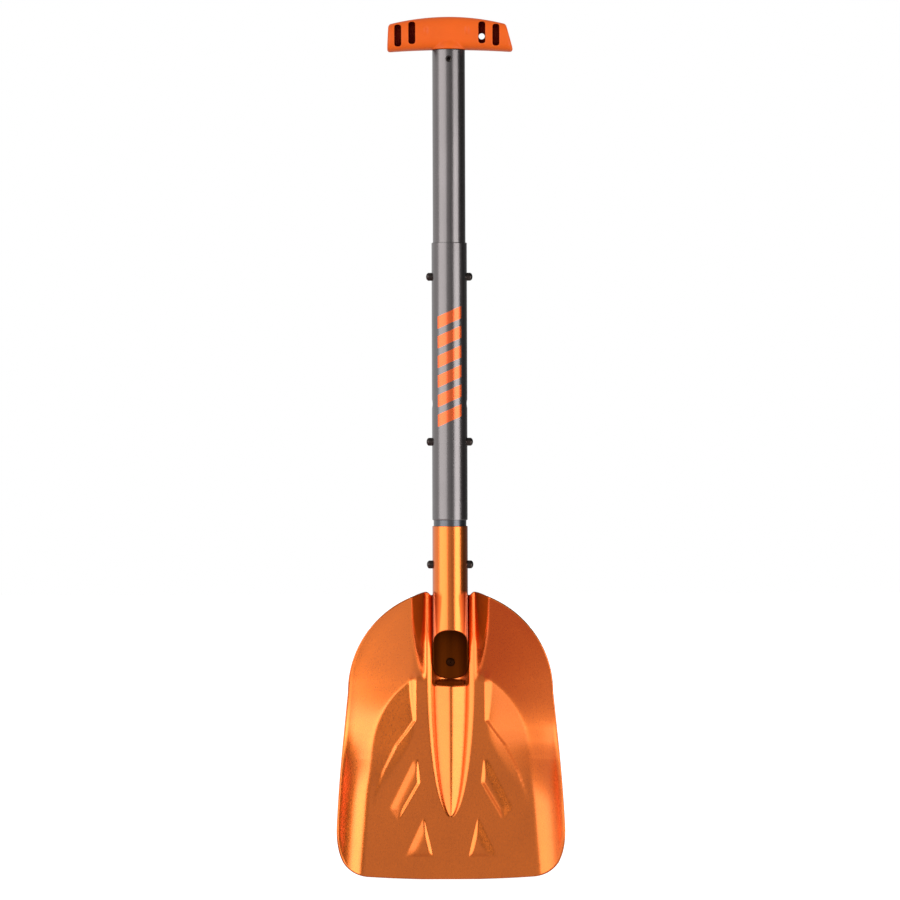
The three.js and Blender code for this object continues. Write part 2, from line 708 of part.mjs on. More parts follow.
// The part of the moulding that fills the end of the tube.
function plug() {
  const bevel = 1;
  const top = GRIP_BOTTOM + COLLAR_HEIGHT / 2;
  const profile = [
    [0, PLUG_BOTTOM],
    [PLUG_RADIUS - bevel, PLUG_BOTTOM],
    [PLUG_RADIUS, PLUG_BOTTOM + bevel],
    [PLUG_RADIUS, top],
    [0, top],
  ];
  return turned(profile, GRIP_TURNED_SIDES);
}

function grip() {
  const moulding = crossPiece().add(toSolid(collar())).add(toSolid(plug()));
  const slotted = SLOTS.reduce(
    (solid, slot) => solid.subtract(slotCutter(slot, -1)).subtract(slotCutter(slot, 1)),
    moulding,
  );
  const lanyard = rod(LANYARD_HOLE_RADIUS, -SLOT_DEPTH, SLOT_DEPTH).rotateX(Math.PI / 2);
  lanyard.translate(SLOTS[2].x, 0, LANYARD_HOLE_HEIGHT);
  return drilled(slotted.subtract(toSolid(lanyard)), PIN_HOLE_RADIUS, [PIN_HEIGHT], "y");
}

// A hollow spring pin through the tube and the plug.
function gripPin() {
  const half = INNER_RADIUS - 0.4;
  const profile = [
    [PIN_BORE_RADIUS, -half],
    [PIN_RADIUS - PIN_BEVEL, -half],
    [PIN_RADIUS, -half + PIN_BEVEL],
    [PIN_RADIUS, half - PIN_BEVEL],
    [PIN_RADIUS - PIN_BEVEL, half],
    [PIN_BORE_RADIUS, half],
    [PIN_BORE_RADIUS, -half],
  ];
  return turned(profile, HOLE_SIDES).rotateX(Math.PI / 2).translate(0, 0, PIN_HEIGHT);
}

// ---- assembly --------------------------------------------------------------------------------

add("blade", toGeometry(bladeSolid()), orangeSheet);
add("socket_tube", toGeometry(socketTube()), orangeTube);
Object.entries(RIVET_HEIGHTS).forEach(([place, height]) => {
  add(`blade_rivet_${place}`, rivet(height), rivetAluminium);
});

add("coupler_tube", toGeometry(couplerTube()), greyTube);
add("shaft_tube", toGeometry(shaftTube()), greyTube);
add("handle_tube", toGeometry(handleTube()), greyTube);

const CLIPS = [
  { name: "socket", height: SOCKET_BUTTONS, bend: 1 },
  { name: "shaft", height: SHAFT_BUTTONS, bend: -1 },
  { name: "telescope", height: TELESCOPE_BUTTONS, bend: 1 },
];
CLIPS.forEach(({ name, height, bend }) => {
  add(`${name}_clip_spring`, toGeometry(clipSpring(height, bend)), springSteel);
  add(`${name}_button_left`, button(-1, height), darkSteel);
  add(`${name}_button_right`, button(1, height), darkSteel);
});

add("grip", toGeometry(grip()), orangePlastic);
add("grip_pin", gripPin(), darkSteel);

// Level with the blade's edge, and centred from front to back.
const bounds = new THREE.Box3().setFromObject(group);
const middle = bounds.getCenter(new THREE.Vector3());
group.children.forEach((mesh) => mesh.geometry.translate(0, -middle.y, 0));

export default group;
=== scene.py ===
import json
import math

import bmesh
import bpy
import numpy as np
from mathutils import Matrix, Vector

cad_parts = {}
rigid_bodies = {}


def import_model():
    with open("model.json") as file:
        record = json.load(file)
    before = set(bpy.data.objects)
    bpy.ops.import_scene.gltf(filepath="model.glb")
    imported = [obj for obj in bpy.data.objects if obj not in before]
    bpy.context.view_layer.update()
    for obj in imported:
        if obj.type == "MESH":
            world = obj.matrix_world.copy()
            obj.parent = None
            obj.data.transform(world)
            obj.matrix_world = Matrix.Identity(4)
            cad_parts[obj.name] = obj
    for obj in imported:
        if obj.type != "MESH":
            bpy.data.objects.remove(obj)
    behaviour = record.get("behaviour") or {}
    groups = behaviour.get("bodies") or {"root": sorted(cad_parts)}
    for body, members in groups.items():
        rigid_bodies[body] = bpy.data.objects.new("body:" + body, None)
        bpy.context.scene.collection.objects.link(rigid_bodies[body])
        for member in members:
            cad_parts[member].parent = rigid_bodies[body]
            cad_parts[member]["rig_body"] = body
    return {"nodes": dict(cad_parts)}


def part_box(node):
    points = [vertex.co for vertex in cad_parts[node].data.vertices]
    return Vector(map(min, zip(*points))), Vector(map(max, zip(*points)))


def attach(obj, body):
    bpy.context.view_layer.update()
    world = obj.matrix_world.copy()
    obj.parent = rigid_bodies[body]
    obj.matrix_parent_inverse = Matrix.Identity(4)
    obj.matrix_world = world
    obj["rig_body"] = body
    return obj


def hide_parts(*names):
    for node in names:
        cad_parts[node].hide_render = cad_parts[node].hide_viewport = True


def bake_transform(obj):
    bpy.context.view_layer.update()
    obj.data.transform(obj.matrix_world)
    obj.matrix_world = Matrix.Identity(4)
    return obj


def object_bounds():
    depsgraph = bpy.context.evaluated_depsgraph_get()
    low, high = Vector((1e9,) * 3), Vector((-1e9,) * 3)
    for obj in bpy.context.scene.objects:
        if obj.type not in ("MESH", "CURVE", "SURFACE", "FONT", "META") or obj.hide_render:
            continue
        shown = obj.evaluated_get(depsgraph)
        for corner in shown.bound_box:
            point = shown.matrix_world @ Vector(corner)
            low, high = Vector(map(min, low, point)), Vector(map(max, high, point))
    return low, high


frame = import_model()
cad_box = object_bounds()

# Lengths below are written in millimetres and turned into metres with MM.
MM = 0.001
CUTTER_SIDES = 48
SMALL_SIDES = 56
# An arc takes up at most this share of each edge that meets in its corner.
EDGE_SHARE = 1 / 2.2

# ---- mesh helpers ------------------------------------------------------------------------------


def clamp01(t):
    return np.clip(t, 0.0, 1.0)


def smooth(low, high, value):
    """0 up to low, 1 from high on, and an S curve between them."""
    t = clamp01((value - low) / (high - low))
    return t * t * (3 - 2 * t)


def mix(a, b, t):
    return a + (b - a) * t


def finish_mesh(obj, sharp_degrees=35):
    """Smooth shading, with creases kept where faces meet at more than the given angle."""
    obj.data.polygons.foreach_set("use_smooth", [True] * len(obj.data.polygons))
    obj.data.set_sharp_from_angle(angle=math.radians(sharp_degrees))
    obj.data.update()
    return obj


def new_object(name, points, faces):
    mesh = bpy.data.meshes.new(name)
    mesh.from_pydata([tuple(p) for p in points], [], [tuple(f) for f in faces])
    shape = bmesh.new()
    shape.from_mesh(mesh)
    bmesh.ops.recalc_face_normals(shape, faces=shape.faces)
    shape.to_mesh(mesh)
    shape.free()
    obj = bpy.data.objects.new(name, mesh)
    bpy.context.scene.collection.objects.link(obj)
    return obj


def grid_faces(rows, columns, wrap_rows=False, wrap_columns=True):
    faces = []
    for j in range(rows if wrap_rows else rows - 1):
        for i in range(columns if wrap_columns else columns - 1):
            a = j * columns + i
            b = j * columns + (i + 1) % columns
            step = columns if j < rows - 1 else -(rows - 1) * columns
            faces.append((a, b, b + step, a + step))
    return faces


def turned(name, profile, sides=64, closed=False):
    """A solid of revolution about Z from (radius, height) points, going up the outside."""
    angles = np.linspace(0, 2 * math.pi, sides, endpoint=False)
    rings = [[(r * math.cos(t), r * math.sin(t), z) for t in angles] for r, z in profile]
    points = [p for ring in rings for p in ring]
    faces = grid_faces(len(profile), sides, wrap_rows=closed)
    if not closed:
        last = (len(profile) - 1) * sides
        faces.append(tuple(reversed(range(sides))))
        faces.append(tuple(range(last, last + sides)))
    return new_object(name, points, faces)


def rounded(profile, radius, steps=4):
    """The profile with each corner but its two ends replaced by a small arc."""
    result = [profile[0]]
    for before, corner, after in zip(profile, profile[1:], profile[2:]):
        corner_v = Vector(corner)
        to_before = Vector(before) - corner_v
        to_after = Vector(after) - corner_v
        reach = min(radius, to_before.length * EDGE_SHARE, to_after.length * EDGE_SHARE)
        start = corner_v + to_before.normalized() * reach
        end = corner_v + to_after.normalized() * reach
        for k in range(steps + 1):
            t = k / steps
            point = start * (1 - t) ** 2 + corner_v * 2 * t * (1 - t) + end * t * t
            result.append(tuple(point))
    result.append(profile[-1])
    return result


def cylinder_between(name, start, end, radius):
    start, end = Vector(start), Vector(end)
    rod = turned(name, [(radius, 0), (radius, (end - start).length)], CUTTER_SIDES)
    turn = (end - start).to_track_quat("Z", "Y").to_matrix().to_4x4()
    rod.data.transform(Matrix.Translation(start) @ turn)
    return rod


def bake_modifiers(obj):
    """Replaces the object's mesh by its modified mesh and drops the modifiers."""
    graph = bpy.context.evaluated_depsgraph_get()
    mesh = bpy.data.meshes.new_from_object(obj.evaluated_get(graph))
    obj.modifiers.clear()
    obj.data = mesh
    return obj


def boolean(obj, others, operation="DIFFERENCE"):
    for other in others:
        modifier = obj.modifiers.new("cut", "BOOLEAN")
        modifier.operation = operation
        modifier.solver = "EXACT"
        modifier.object = other
    bake_modifiers(obj)
    for other in others:
        bpy.data.objects.remove(other)
    return obj


# ---- material helpers --------------------------------------------------------------------------


class Nodes:
    """A thin wrapper that adds shader nodes and links them by input name."""

    def __init__(self, name):
        self.material = bpy.data.materials.new(name)
        self.material.use_nodes = True
        self.tree = self.material.node_tree
        self.tree.nodes.clear()
        self.output = self.tree.nodes.new("ShaderNodeOutputMaterial")

    def add(self, kind, settings=None, **inputs):
        node = self.tree.nodes.new("ShaderNode" + kind)
        for key, value in (settings or {}).items():
            setattr(node, key, value)
        for key, value in inputs.items():
            self.put(node, key, value)
        return node

    def put(self, node, key, value):
        socket = node.inputs[int(key[1:])] if key[0] == "_" else node.inputs[key.replace("_", " ")]
        if isinstance(value, bpy.types.NodeSocket):
            self.tree.links.new(value, socket)
        else:
            socket.default_value = value

    def math(self, operation, a, b=0.0, clamp=False):
        node = self.add("Math", {"operation": operation, "use_clamp": clamp}, _0=a, _1=b)
        return node.outputs[0]

    def blend(self, factor, a, b):
        node = self.add("Mix", {"data_type": "RGBA", "blend_type": "MIX"}, _0=factor, _6=a, _7=b)
        return node.outputs[2]

    def remap(self, value, low, high, new_low, new_high):
        node = self.add("MapRange", None, Value=value)
        ends = {"From Min": low, "From Max": high, "To Min": new_low, "To Max": new_high}
        for key, number in ends.items():
            node.inputs[key].default_value = number
        return node.outputs[0]

    def spread(self, noise, new_low, new_high):
        """A noise, whose values crowd about 0.5, stretched over the given range."""
        return self.remap(noise, 0.3, 0.7, new_low, new_high)

    def noise(self, vector, scale, detail=2.0, roughness=0.5):
        node = self.add("TexNoise", None, Vector=vector, Scale=scale, Detail=detail,
                        Roughness=roughness)
        return node.outputs["Fac"]

    def stretched(self, vector, scale):
        node = self.add("Mapping", {"vector_type": "POINT"}, Vector=vector)
        node.inputs["Scale"].default_value = scale
        return node.outputs[0]

    def bump(self, height, distance, strength=1.0, normal=None):
        node = self.add("Bump", None, Height=height, Distance=distance, Strength=strength)
        if normal is not None:
            self.put(node, "Normal", normal)
        return node.outputs[0]

    def surface(self, shader):
        self.tree.links.new(shader.outputs[0], self.output.inputs["Surface"])
        return self.material


def colour(red, green, blue):
    return (red, green, blue, 1.0)


def shaded(tint, factor):
    return colour(*(c * factor for c in tint))


# Radius times the cosine between a surface and the way out from the axis: every tube's outside
# stands above this, and bores and cut ends below it.
OUTSIDE_FACING = 9 * MM


def inside_of_tube(nodes, position):
    """1 on a tube's bore and cut ends, where shade is painted, and 0 on its outside."""
    normal = nodes.add("NewGeometry").outputs["Normal"]
    flat = nodes.add("VectorMath", {"operation": "MULTIPLY"}, _0=position, _1=(1, 1, 0)).outputs[0]
    facing = nodes.add("VectorMath", {"operation": "DOT_PRODUCT"}, _0=flat, _1=normal)
    return nodes.math("LESS_THAN", facing.outputs["Value"], OUTSIDE_FACING)


def steep_face(nodes):
    """1 where the front view meets the sheet nearly edge-on: its cut rim and steepest banks."""
    # The sheet takes a painted shade where this is 1.
    normal = nodes.add("NewGeometry").outputs["Normal"]
    depth = nodes.add("SeparateXYZ", None, Vector=normal).outputs["Y"]
    return nodes.remap(nodes.math("ABSOLUTE", depth), 0.46, 0.54, 1.0, 0.0)


# The sheet stands beside the socket tube above this height, and beyond the trough's lips from
# here outwards.
MIRRORED_HEIGHT = 186 * MM
SHOULDER_START, SHOULDER_FULL = 26 * MM, 32 * MM


def painted_reflection_beside_tube(nodes, position):
    """Masks for a painted reflection: 1 where the sheet beside the tube is seen reflected,
    and the same for its shoulders alone.

    In reflections they paint the sheet paler and make its shoulders glow, as a dyed sheet
    reflected in dyed metal would otherwise turn a deeper red than such a pair does in daylight,
    and the shoulders would stand dark in the tube.
    """
    x, _, z = nodes.add("SeparateXYZ", None, Vector=position).outputs
    beside_tube = nodes.math("GREATER_THAN", z, MIRRORED_HEIGHT)
    painted_reflection = nodes.math("MULTIPLY", nodes.add("LightPath").outputs["Is Glossy Ray"], beside_tube)
    shoulder = nodes.remap(nodes.math("ABSOLUTE", x), SHOULDER_START, SHOULDER_FULL, 0.0, 1.0)
    return painted_reflection, nodes.math("MULTIPLY", painted_reflection, shoulder)


# Noise scales, in features per metre: across and along the tubes' brush lines, and across the
# sheet's satin.
BRUSH_LINES, SATIN = (1500, 1500, 14), (700, 700, 500)
LIGHT_DYE, DARK_DYE = 1.28, 0.74
GRAIN_DEPTH = 0.006 * MM
# Painted reflection: the sheet's colour and its shoulders' glow as seen in reflections.
PAINTED_REFLECTION_SHEET, PAINTED_GLOW_COLOUR = colour(0.90, 0.55, 0.40), colour(1.0, 0.8, 0.7)


def anodised(name, tint, roughness, brushed, grain=1.0, print_mask=None, print_tint=None):
    """Dyed anodised aluminium: a tinted metal under a thin clear film, with a fine satin grain.

    A brushed metal is a tube's, with a painted shade on its bore and cut ends, and any other is
    the sheet's, with a painted shade on its cut rim and steepest banks and a painted reflection
    and glow beside the tube. A print mask lays a paint of the given colour over the dye.
    """
    nodes = Nodes(name)
    position = nodes.add("TexCoord").outputs["Object"]
    fine = nodes.noise(position, 3200.0, 2.0, 0.5)
    cloud = nodes.noise(position, 18.0, 3.0, 0.55)
    lines = nodes.noise(nodes.stretched(position, BRUSH_LINES if brushed else SATIN), 1.0, 3.0)
    shade = nodes.math("ADD", nodes.spread(fine, -0.07 * grain, 0.07 * grain),
                       nodes.spread(cloud, -0.12, 0.12))
    shade = nodes.math("ADD", shade, nodes.spread(lines, -0.05, 0.05))
    light = colour(*(min(1.0, c * LIGHT_DYE) for c in tint))
    base = nodes.blend(nodes.math("ADD", shade, 0.5, True), shaded(tint, DARK_DYE), light)
    if print_mask is not None:
        mask = print_mask(nodes, position)
        base = nodes.blend(mask, base, print_tint)
    if not brushed:
        # Painted reflection: the sheet beside the tube turns paler in reflections.
        painted_reflection, outer = painted_reflection_beside_tube(nodes, position)
        base = nodes.blend(painted_reflection, base, PAINTED_REFLECTION_SHEET)
    # Painted shade on a tube's bore and cut ends, or on the sheet's cut rim and steepest banks.
    painted_shade = inside_of_tube(nodes, position) if brushed else steep_face(nodes)
    base = nodes.blend(painted_shade, base, shaded(tint, 0.16 if brushed else 0.5))
    rough = nodes.math("ADD", nodes.spread(fine, -0.04, 0.04),
                       nodes.spread(lines, roughness - 0.03, roughness + 0.05))
    rough = nodes.math("ADD", rough, nodes.math("MULTIPLY", painted_shade, 0.4))
    grain_bump = nodes.bump(fine, GRAIN_DEPTH * grain, 0.5)
    line_bump = nodes.bump(lines, GRAIN_DEPTH, 0.5, grain_bump)
    shader = nodes.add("BsdfPrincipled", None, Base_Color=base, Metallic=1.0, Roughness=rough,
                       Normal=line_bump)
    nodes.put(shader, "Coat Weight", nodes.remap(painted_shade, 0.0, 1.0, 0.8, 0.0))
    nodes.put(shader, "Coat Roughness", 0.22)
    if not brushed:
        # Painted glow: the shoulders beside the tube glow in reflections, though they are no lamp.
        nodes.put(shader, "Emission Color", PAINTED_GLOW_COLOUR)
        nodes.put(shader, "Emission Strength", outer)
        nodes.material.cycles.emission_sampling = "NONE"
    if print_mask is not None:
        nodes.put(shader, "Metallic", nodes.remap(mask, 0.0, 1.0, 1.0, 0.75))
    return nodes.surface(shader)


# The depth of a slot's painted shade is taken from how much of the sky within this
# distance is blocked.
SLOT_SHADE_REACH = 16 * MM
# Painted colours: a slot's deep shade, and the grip as the metal shows it in reflections.
SLOT_SHADE, PAINTED_REFLECTION_PLASTIC = colour(0.14, 0.001, 0.003), colour(0.06, 0.06, 0.07)


def moulded_plastic(name, tint):
    """Nylon moulding: fine spark-eroded texture, a little light inside, dark deep in its slots."""
    nodes = Nodes(name)
    position = nodes.add("TexCoord").outputs["Object"]
    fine = nodes.noise(position, 1900.0, 2.0, 0.6)
    cloud = nodes.noise(position, 40.0, 3.0)
    openness = nodes.add("AmbientOcclusion", {"samples": 8}, Distance=SLOT_SHADE_REACH).outputs["AO"]
    base = nodes.blend(nodes.spread(cloud, 0.0, 1.0), shaded(tint, 0.93), colour(*tint))
    # Painted shade: the colour darkens deep in the slots, where little of the sky is seen.
    depth = nodes.remap(openness, 0.30, 0.62, 1.0, 0.0)
    base = nodes.blend(depth, base, SLOT_SHADE)
    # Painted reflection: in reflections the grip is shown dark grey.
    painted_reflection = nodes.math("MULTIPLY", nodes.add("LightPath").outputs["Is Glossy Ray"], 0.85)
    base = nodes.blend(painted_reflection, base, PAINTED_REFLECTION_PLASTIC)
    shader = nodes.add("BsdfPrincipled", None, Base_Color=base, Metallic=0.0,
                       Roughness=nodes.spread(fine, 0.38, 0.52),
                       Normal=nodes.bump(fine, 0.04 * MM, 0.6))
    nodes.put(shader, "Specular IOR Level", nodes.remap(depth, 0.0, 1.0, 0.3, 0.0))
    nodes.put(shader, "Subsurface Weight", 0.06)
    nodes.put(shader, "Subsurface Radius", (4 * MM, 1.5 * MM, 0.6 * MM))
    return nodes.surface(shader)


RUBBED_STEEL = colour(0.42, 0.40, 0.38)


def plain_metal(name, tint, roughness, wear=0.0, bore=1.0):
    """Plated or bare metal with fine turning marks and lighter rubbed edges.

    Faces towards the shaft's axis are shaded by the bore factor, as they lie inside a tube.
    """
    nodes = Nodes(name)
    position = nodes.add("TexCoord").outputs["Object"]
    fine = nodes.noise(position, 2600.0, 3.0)
    blotch = nodes.noise(position, 260.0, 3.0)
    base = nodes.blend(nodes.remap(blotch, 0.35, 0.7, 0.0, 1.0), shaded(tint, 0.8), colour(*tint))
    if wear:
        edge = nodes.add("NewGeometry").outputs["Pointiness"]
        rubbed = nodes.math("MULTIPLY", nodes.remap(edge, 0.52, 0.6, 0.0, 1.0), blotch)
        base = nodes.blend(nodes.math("MULTIPLY", rubbed, wear), base, RUBBED_STEEL)
    if bore < 1:
        base = nodes.blend(inside_of_tube(nodes, position), base, shaded(tint, bore))
    shader = nodes.add("BsdfPrincipled", None, Base_Color=base, Metallic=1.0,
                       Roughness=nodes.spread(fine, roughness - 0.06, roughness + 0.08),
                       Normal=nodes.bump(fine, 0.01 * MM, 0.5))
    return nodes.surface(shader)


# Printed bars on the shaft: a plain slanted pattern, repeated up the front of the tube.
PRINT_LOW, PRINT_HIGH = 431 * MM, 542 * MM
PRINT_HALF_WIDTH = 11.2 * MM
PRINT_BARS = 6
PRINT_BAR_SHARE = 0.62
PRINT_SLANT = 0.45


def printed_bars(nodes, position):
    x, y, z = nodes.add("SeparateXYZ", None, Vector=position).outputs
    pitch = (PRINT_HIGH - PRINT_LOW) / PRINT_BARS
    slanted = nodes.math("SUBTRACT", z, nodes.math("MULTIPLY", x, PRINT_SLANT))
    rise = nodes.math("SUBTRACT", slanted, PRINT_LOW)
    phase = nodes.math("FRACT", nodes.math("DIVIDE", rise, pitch))
    in_bar = nodes.math("LESS_THAN", phase, PRINT_BAR_SHARE)
    in_width = nodes.math("LESS_THAN", nodes.math("ABSOLUTE", x), PRINT_HALF_WIDTH)
    above = nodes.math("GREATER_THAN", slanted, PRINT_LOW)
    below = nodes.math("LESS_THAN", slanted, PRINT_HIGH)
    in_front = nodes.math("LESS_THAN", y, 0.0)
    mask = in_bar
    for part in (in_width, above, below, in_front):
        mask = nodes.math("MULTIPLY", mask, part)
    return mask


ORANGE_METAL = (0.86, 0.166, 0.010)
GREY_METAL = (0.155, 0.138, 0.138)
# The coupler's dark colour is partly its own and partly painted shade, for the shadow it sits in
# between the two tubes.
COUPLER_METAL = (0.085, 0.088, 0.100)
PRINT_ORANGE = colour(0.90, 0.120, 0.012)
ORANGE_PLASTIC = (0.80, 0.112, 0.002)

sheet_metal = anodised("anodised_orange_sheet", ORANGE_METAL, 0.30, brushed=False, grain=0.7)
orange_tube_metal = anodised("anodised_orange_tube", ORANGE_METAL, 0.24, brushed=True, grain=0.6)
grey_tube_metal = anodised("anodised_grey_tube", GREY_METAL, 0.27, brushed=True, grain=1.6)
coupler_metal = anodised("anodised_coupler_dark_and_shaded", COUPLER_METAL, 0.30, brushed=True)
printed_tube_metal = anodised("anodised_grey_tube_printed", GREY_METAL, 0.27, brushed=True, grain=1.6,
                              print_mask=printed_bars, print_tint=PRINT_ORANGE)
grip_plastic = moulded_plastic("grip_plastic", ORANGE_PLASTIC)
button_steel = plain_metal("button_steel", (0.075, 0.060, 0.055), 0.32, wear=0.5)
spring_steel = plain_metal("spring_steel", (0.42, 0.41, 0.40), 0.28)
rivet_metal = plain_metal("rivet_aluminium", (0.30, 0.085, 0.030), 0.5, bore=0.12)


# The shaft's axis lies a little behind the origin. Every piece is drawn about the axis, so that
# its materials' coordinates are too, and moved back by this much.
AXIS_Y = (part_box("shaft_tube")[0].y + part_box("shaft_tube")[1].y) / 2


def place(obj, node, material, slot):
    """Gives a fine piece its material and the body of the CAD node it stands for, and hides it."""
    obj.location.y = AXIS_Y
    bpy.context.view_layer.update()
    obj.data.materials.clear()
    obj.data.materials.append(material)
    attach(obj, frame["nodes"][node]["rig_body"])
    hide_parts(node)
    return obj


# ---- blade -------------------------------------------------------------------------------------
# The same pressed surface as the CAD blade, sampled about seven times finer. It is worked out in
# millimetres. Here a is the distance from the middle line, and z the height.

SHEET = 2.0
CROWN_RADIUS, CROWN_CENTRE = 95.0, 177.1
WIDEST_HALF, WIDEST_HEIGHT = 105.8, 46.0
FLARE_POWER = 1.3
CORNER_WIDTH, CORNER_POWER = 28.6, 2.2
EDGE_ARC_RADIUS = 1200.0
LIFT = math.tan(math.radians(4))
LIFT_START, LIFT_EASE = 190.0, 40.0
FLOOR_ARCH_WIDTH, FLOOR_ARCH_HEIGHT, FLOOR_ARCH_BASE, FLOOR_FLARE = 74.5, 84.0, 113.0, 9.0
TROUGH_HALF, TROUGH_LENGTH, TROUGH_START = 20.0, 137.0, 195.0
SADDLE_RADIUS, SADDLE_TANGENT = 17.3, 15.5
NOTCH_DEPTH, NOTCH_INNER, NOTCH_OUTER = 4.5, 17, 23
SPLIT_X = 74.3
SPLIT_Z = 13.0
# How fast the grid's pull towards the sheet's sides fades away from them.
SIDE_PULL_POWER = 5
FAR = 400
WING = [(31.5, FAR), (32.5, 148), (51, 125), (63, 101), (71, 78), (76, 50), (FAR, 50), (FAR, FAR)]
# The wing's step along its inner line has a low part and a high one. The step, the fading of its
# edge and the wing's tilt each come in between two heights.
WING_STEP_ALONG, WING_STEP_TOP = 0.7, 2.6
STEP_ALONG_RISE, STEP_TOP_RISE, EDGE_FADE, TILT_RISE = (60, 110), (125, 187), (184, 198), (70, 130)
WING_TILT, WING_TILT_ROUND = 0.18, 3
WING_BEND, WING_BEND_HEIGHT, WING_SWEEP, WING_SWEEP_ROUND = 34.0, 142.0, 0.72, 18
BENT_BAR = [(31, 112), (28.7, 90), (49.5, 54.5), (58, 66), (35, 112)]
ARROW = [(25.6, 58), (16.5, 20), (43.5, 20)]
PANEL_HEIGHT, ARROW_FADE = 1.5, (14, 30)


def flared_half_width(z):
    """Half the sheet's width below its round crown, before its bottom corners are rounded off."""
    down = clamp01((z - WIDEST_HEIGHT) / (CROWN_CENTRE - WIDEST_HEIGHT))
    return WIDEST_HALF - (WIDEST_HALF - CROWN_RADIUS) * down ** FLARE_POWER


def corner_side(share):
    """How far a rounded corner has turned in, for a share of its way from 0 to 1."""
    return 1 - (1 - clamp01(share) ** CORNER_POWER) ** (1 / CORNER_POWER)


def trimmed_half_width(z):
    return flared_half_width(z) - CORNER_WIDTH * corner_side((WIDEST_HEIGHT - z) / WIDEST_HEIGHT)


def top_edge(u):
    """The sheet's upper edge, with u from -1 to 1 across it."""
    x = SPLIT_X * u
    notch = NOTCH_DEPTH * (1 - smooth(NOTCH_INNER, NOTCH_OUTER, np.abs(x)))
    return x, CROWN_CENTRE + np.sqrt(CROWN_RADIUS ** 2 - x * x) - notch


def bottom_edge(u):
    split = trimmed_half_width(SPLIT_Z)
    x = SPLIT_X * u + (split - SPLIT_X) * u ** 3
    straight = x * x / (2 * EDGE_ARC_RADIUS)
    in_corner = (np.abs(x) - (WIDEST_HALF - CORNER_WIDTH)) / CORNER_WIDTH
    return x, straight + (WIDEST_HEIGHT - straight) * corner_side(in_corner)


def sheet_points(u, v):
    """Fills the sheet's outline with a grid: u runs across from -1 to 1, and v up from 0 to 1."""
    bottom_x, bottom_z = bottom_edge(u)
    top_x, top_z = top_edge(u)
    x, z = mix(bottom_x, top_x, v), mix(bottom_z, top_z, v)
    one = np.ones_like(u)
    corner_x = mix(bottom_edge(one)[0], top_edge(one)[0], v)
    corner_z = mix(bottom_edge(one)[1], top_edge(one)[1], v)
    crown = np.sqrt(np.maximum(CROWN_RADIUS ** 2 - (corner_z - CROWN_CENTRE) ** 2, 0))
    side = np.where(corner_z > CROWN_CENTRE, crown, trimmed_half_width(corner_z))
    return x + (side - corner_x) * u ** SIDE_PULL_POWER, z


def floor_plane(z):
    """The floor leans forward below the tube's mouth."""
    drop = np.maximum(0, LIFT_START - z)
    eased = np.where(drop < LIFT_EASE, drop * drop / (2 * LIFT_EASE), drop - LIFT_EASE / 2)
    return -LIFT * eased


def eased_ramp(distance, radius):
    """0 up to 0, then a straight rise of 1 in 1, with a rounded start."""
    d = np.maximum(0, distance)
    return np.sqrt(d * d + radius * radius) - radius


def soft_min(a, b, rounding):
    h = np.maximum(rounding - np.abs(a - b), 0) / rounding
    return np.minimum(a, b) - h * h * rounding / 4


def beyond_floor(a, z):
    """Distance outside the floor, which is an arch on two slowly spreading sides."""
    low = a - FLOOR_ARCH_WIDTH - FLOOR_FLARE * (1 - z / FLOOR_ARCH_BASE)
    up = z - FLOOR_ARCH_BASE
    reach = np.hypot(a / FLOOR_ARCH_WIDTH, up / FLOOR_ARCH_HEIGHT)
    return np.where(z < FLOOR_ARCH_BASE, low, np.hypot(a, up) * (1 - 1 / np.maximum(reach, 0.05)))


def inside_edge(a, z):
    """Distance in from the sheet's side or crown."""
    to_crown = CROWN_RADIUS - np.hypot(a, z - CROWN_CENTRE)
    return np.where(z < CROWN_CENTRE, flared_half_width(z) - a, to_crown)


# The wall's slope and curve at the blade's sides and at its shoulders, and the rim's flare.
WALL_SLOPE, WALL_CURVE, WALL_ROUND = (0.22, 0.42), (0.018, 0.0), 1.5
WALL_SIDES, WALL_SHOULDERS = 80, 150
RIM_FLARE, RIM_FLARE_WIDTH, RIM_FLARE_EASE = 0.008, 9, 12


def wall_height(a, z):
    high = smooth(WALL_SIDES, WALL_SHOULDERS, z)
    out = np.maximum(0, beyond_floor(a, z))
    rise = mix(*WALL_SLOPE, high) * eased_ramp(out, WALL_ROUND) + mix(*WALL_CURVE, high) * out * out
    flare = np.maximum(0, RIM_FLARE_WIDTH - inside_edge(a, z))
    return rise + RIM_FLARE * flare * flare * smooth(0, RIM_FLARE_EASE, out)


def outline_distance(a, z, outline):
    """Signed distance to a closed outline, negative inside."""
    nearest = np.full_like(a, np.inf)
    inside = np.zeros(a.shape, bool)
    for (x0, z0), (x1, z1) in zip(outline[-1:] + outline[:-1], outline):
        ex, ez = x1 - x0, z1 - z0
        t = clamp01(((a - x0) * ex + (z - z0) * ez) / (ex * ex + ez * ez))
        nearest = np.minimum(nearest, np.hypot(a - x0 - ex * t, z - z0 - ez * t))
        if z0 != z1:
            crossing = ((z1 > z) != (z0 > z)) & (a < (x0 - x1) * (z - z1) / (z0 - z1) + x1)
            inside ^= crossing
    return np.where(inside, -nearest, nearest)


def inward_distance(a, z, edge):
    """How far a point lies inside one edge of an outline that runs anticlockwise."""
    (x0, z0), (x1, z1) = edge
    ex, ez = x1 - x0, z1 - z0
    return ((z - z0) * ex - (a - x0) * ez) / math.hypot(ex, ez)


# The panels' edges fall steeply towards the spine and gently away from it.
INNER_SLOPE, OUTER_SLOPE = 0.52, 0.2
PANEL_ROUND, WING_ROUND = 0.5, 0.4


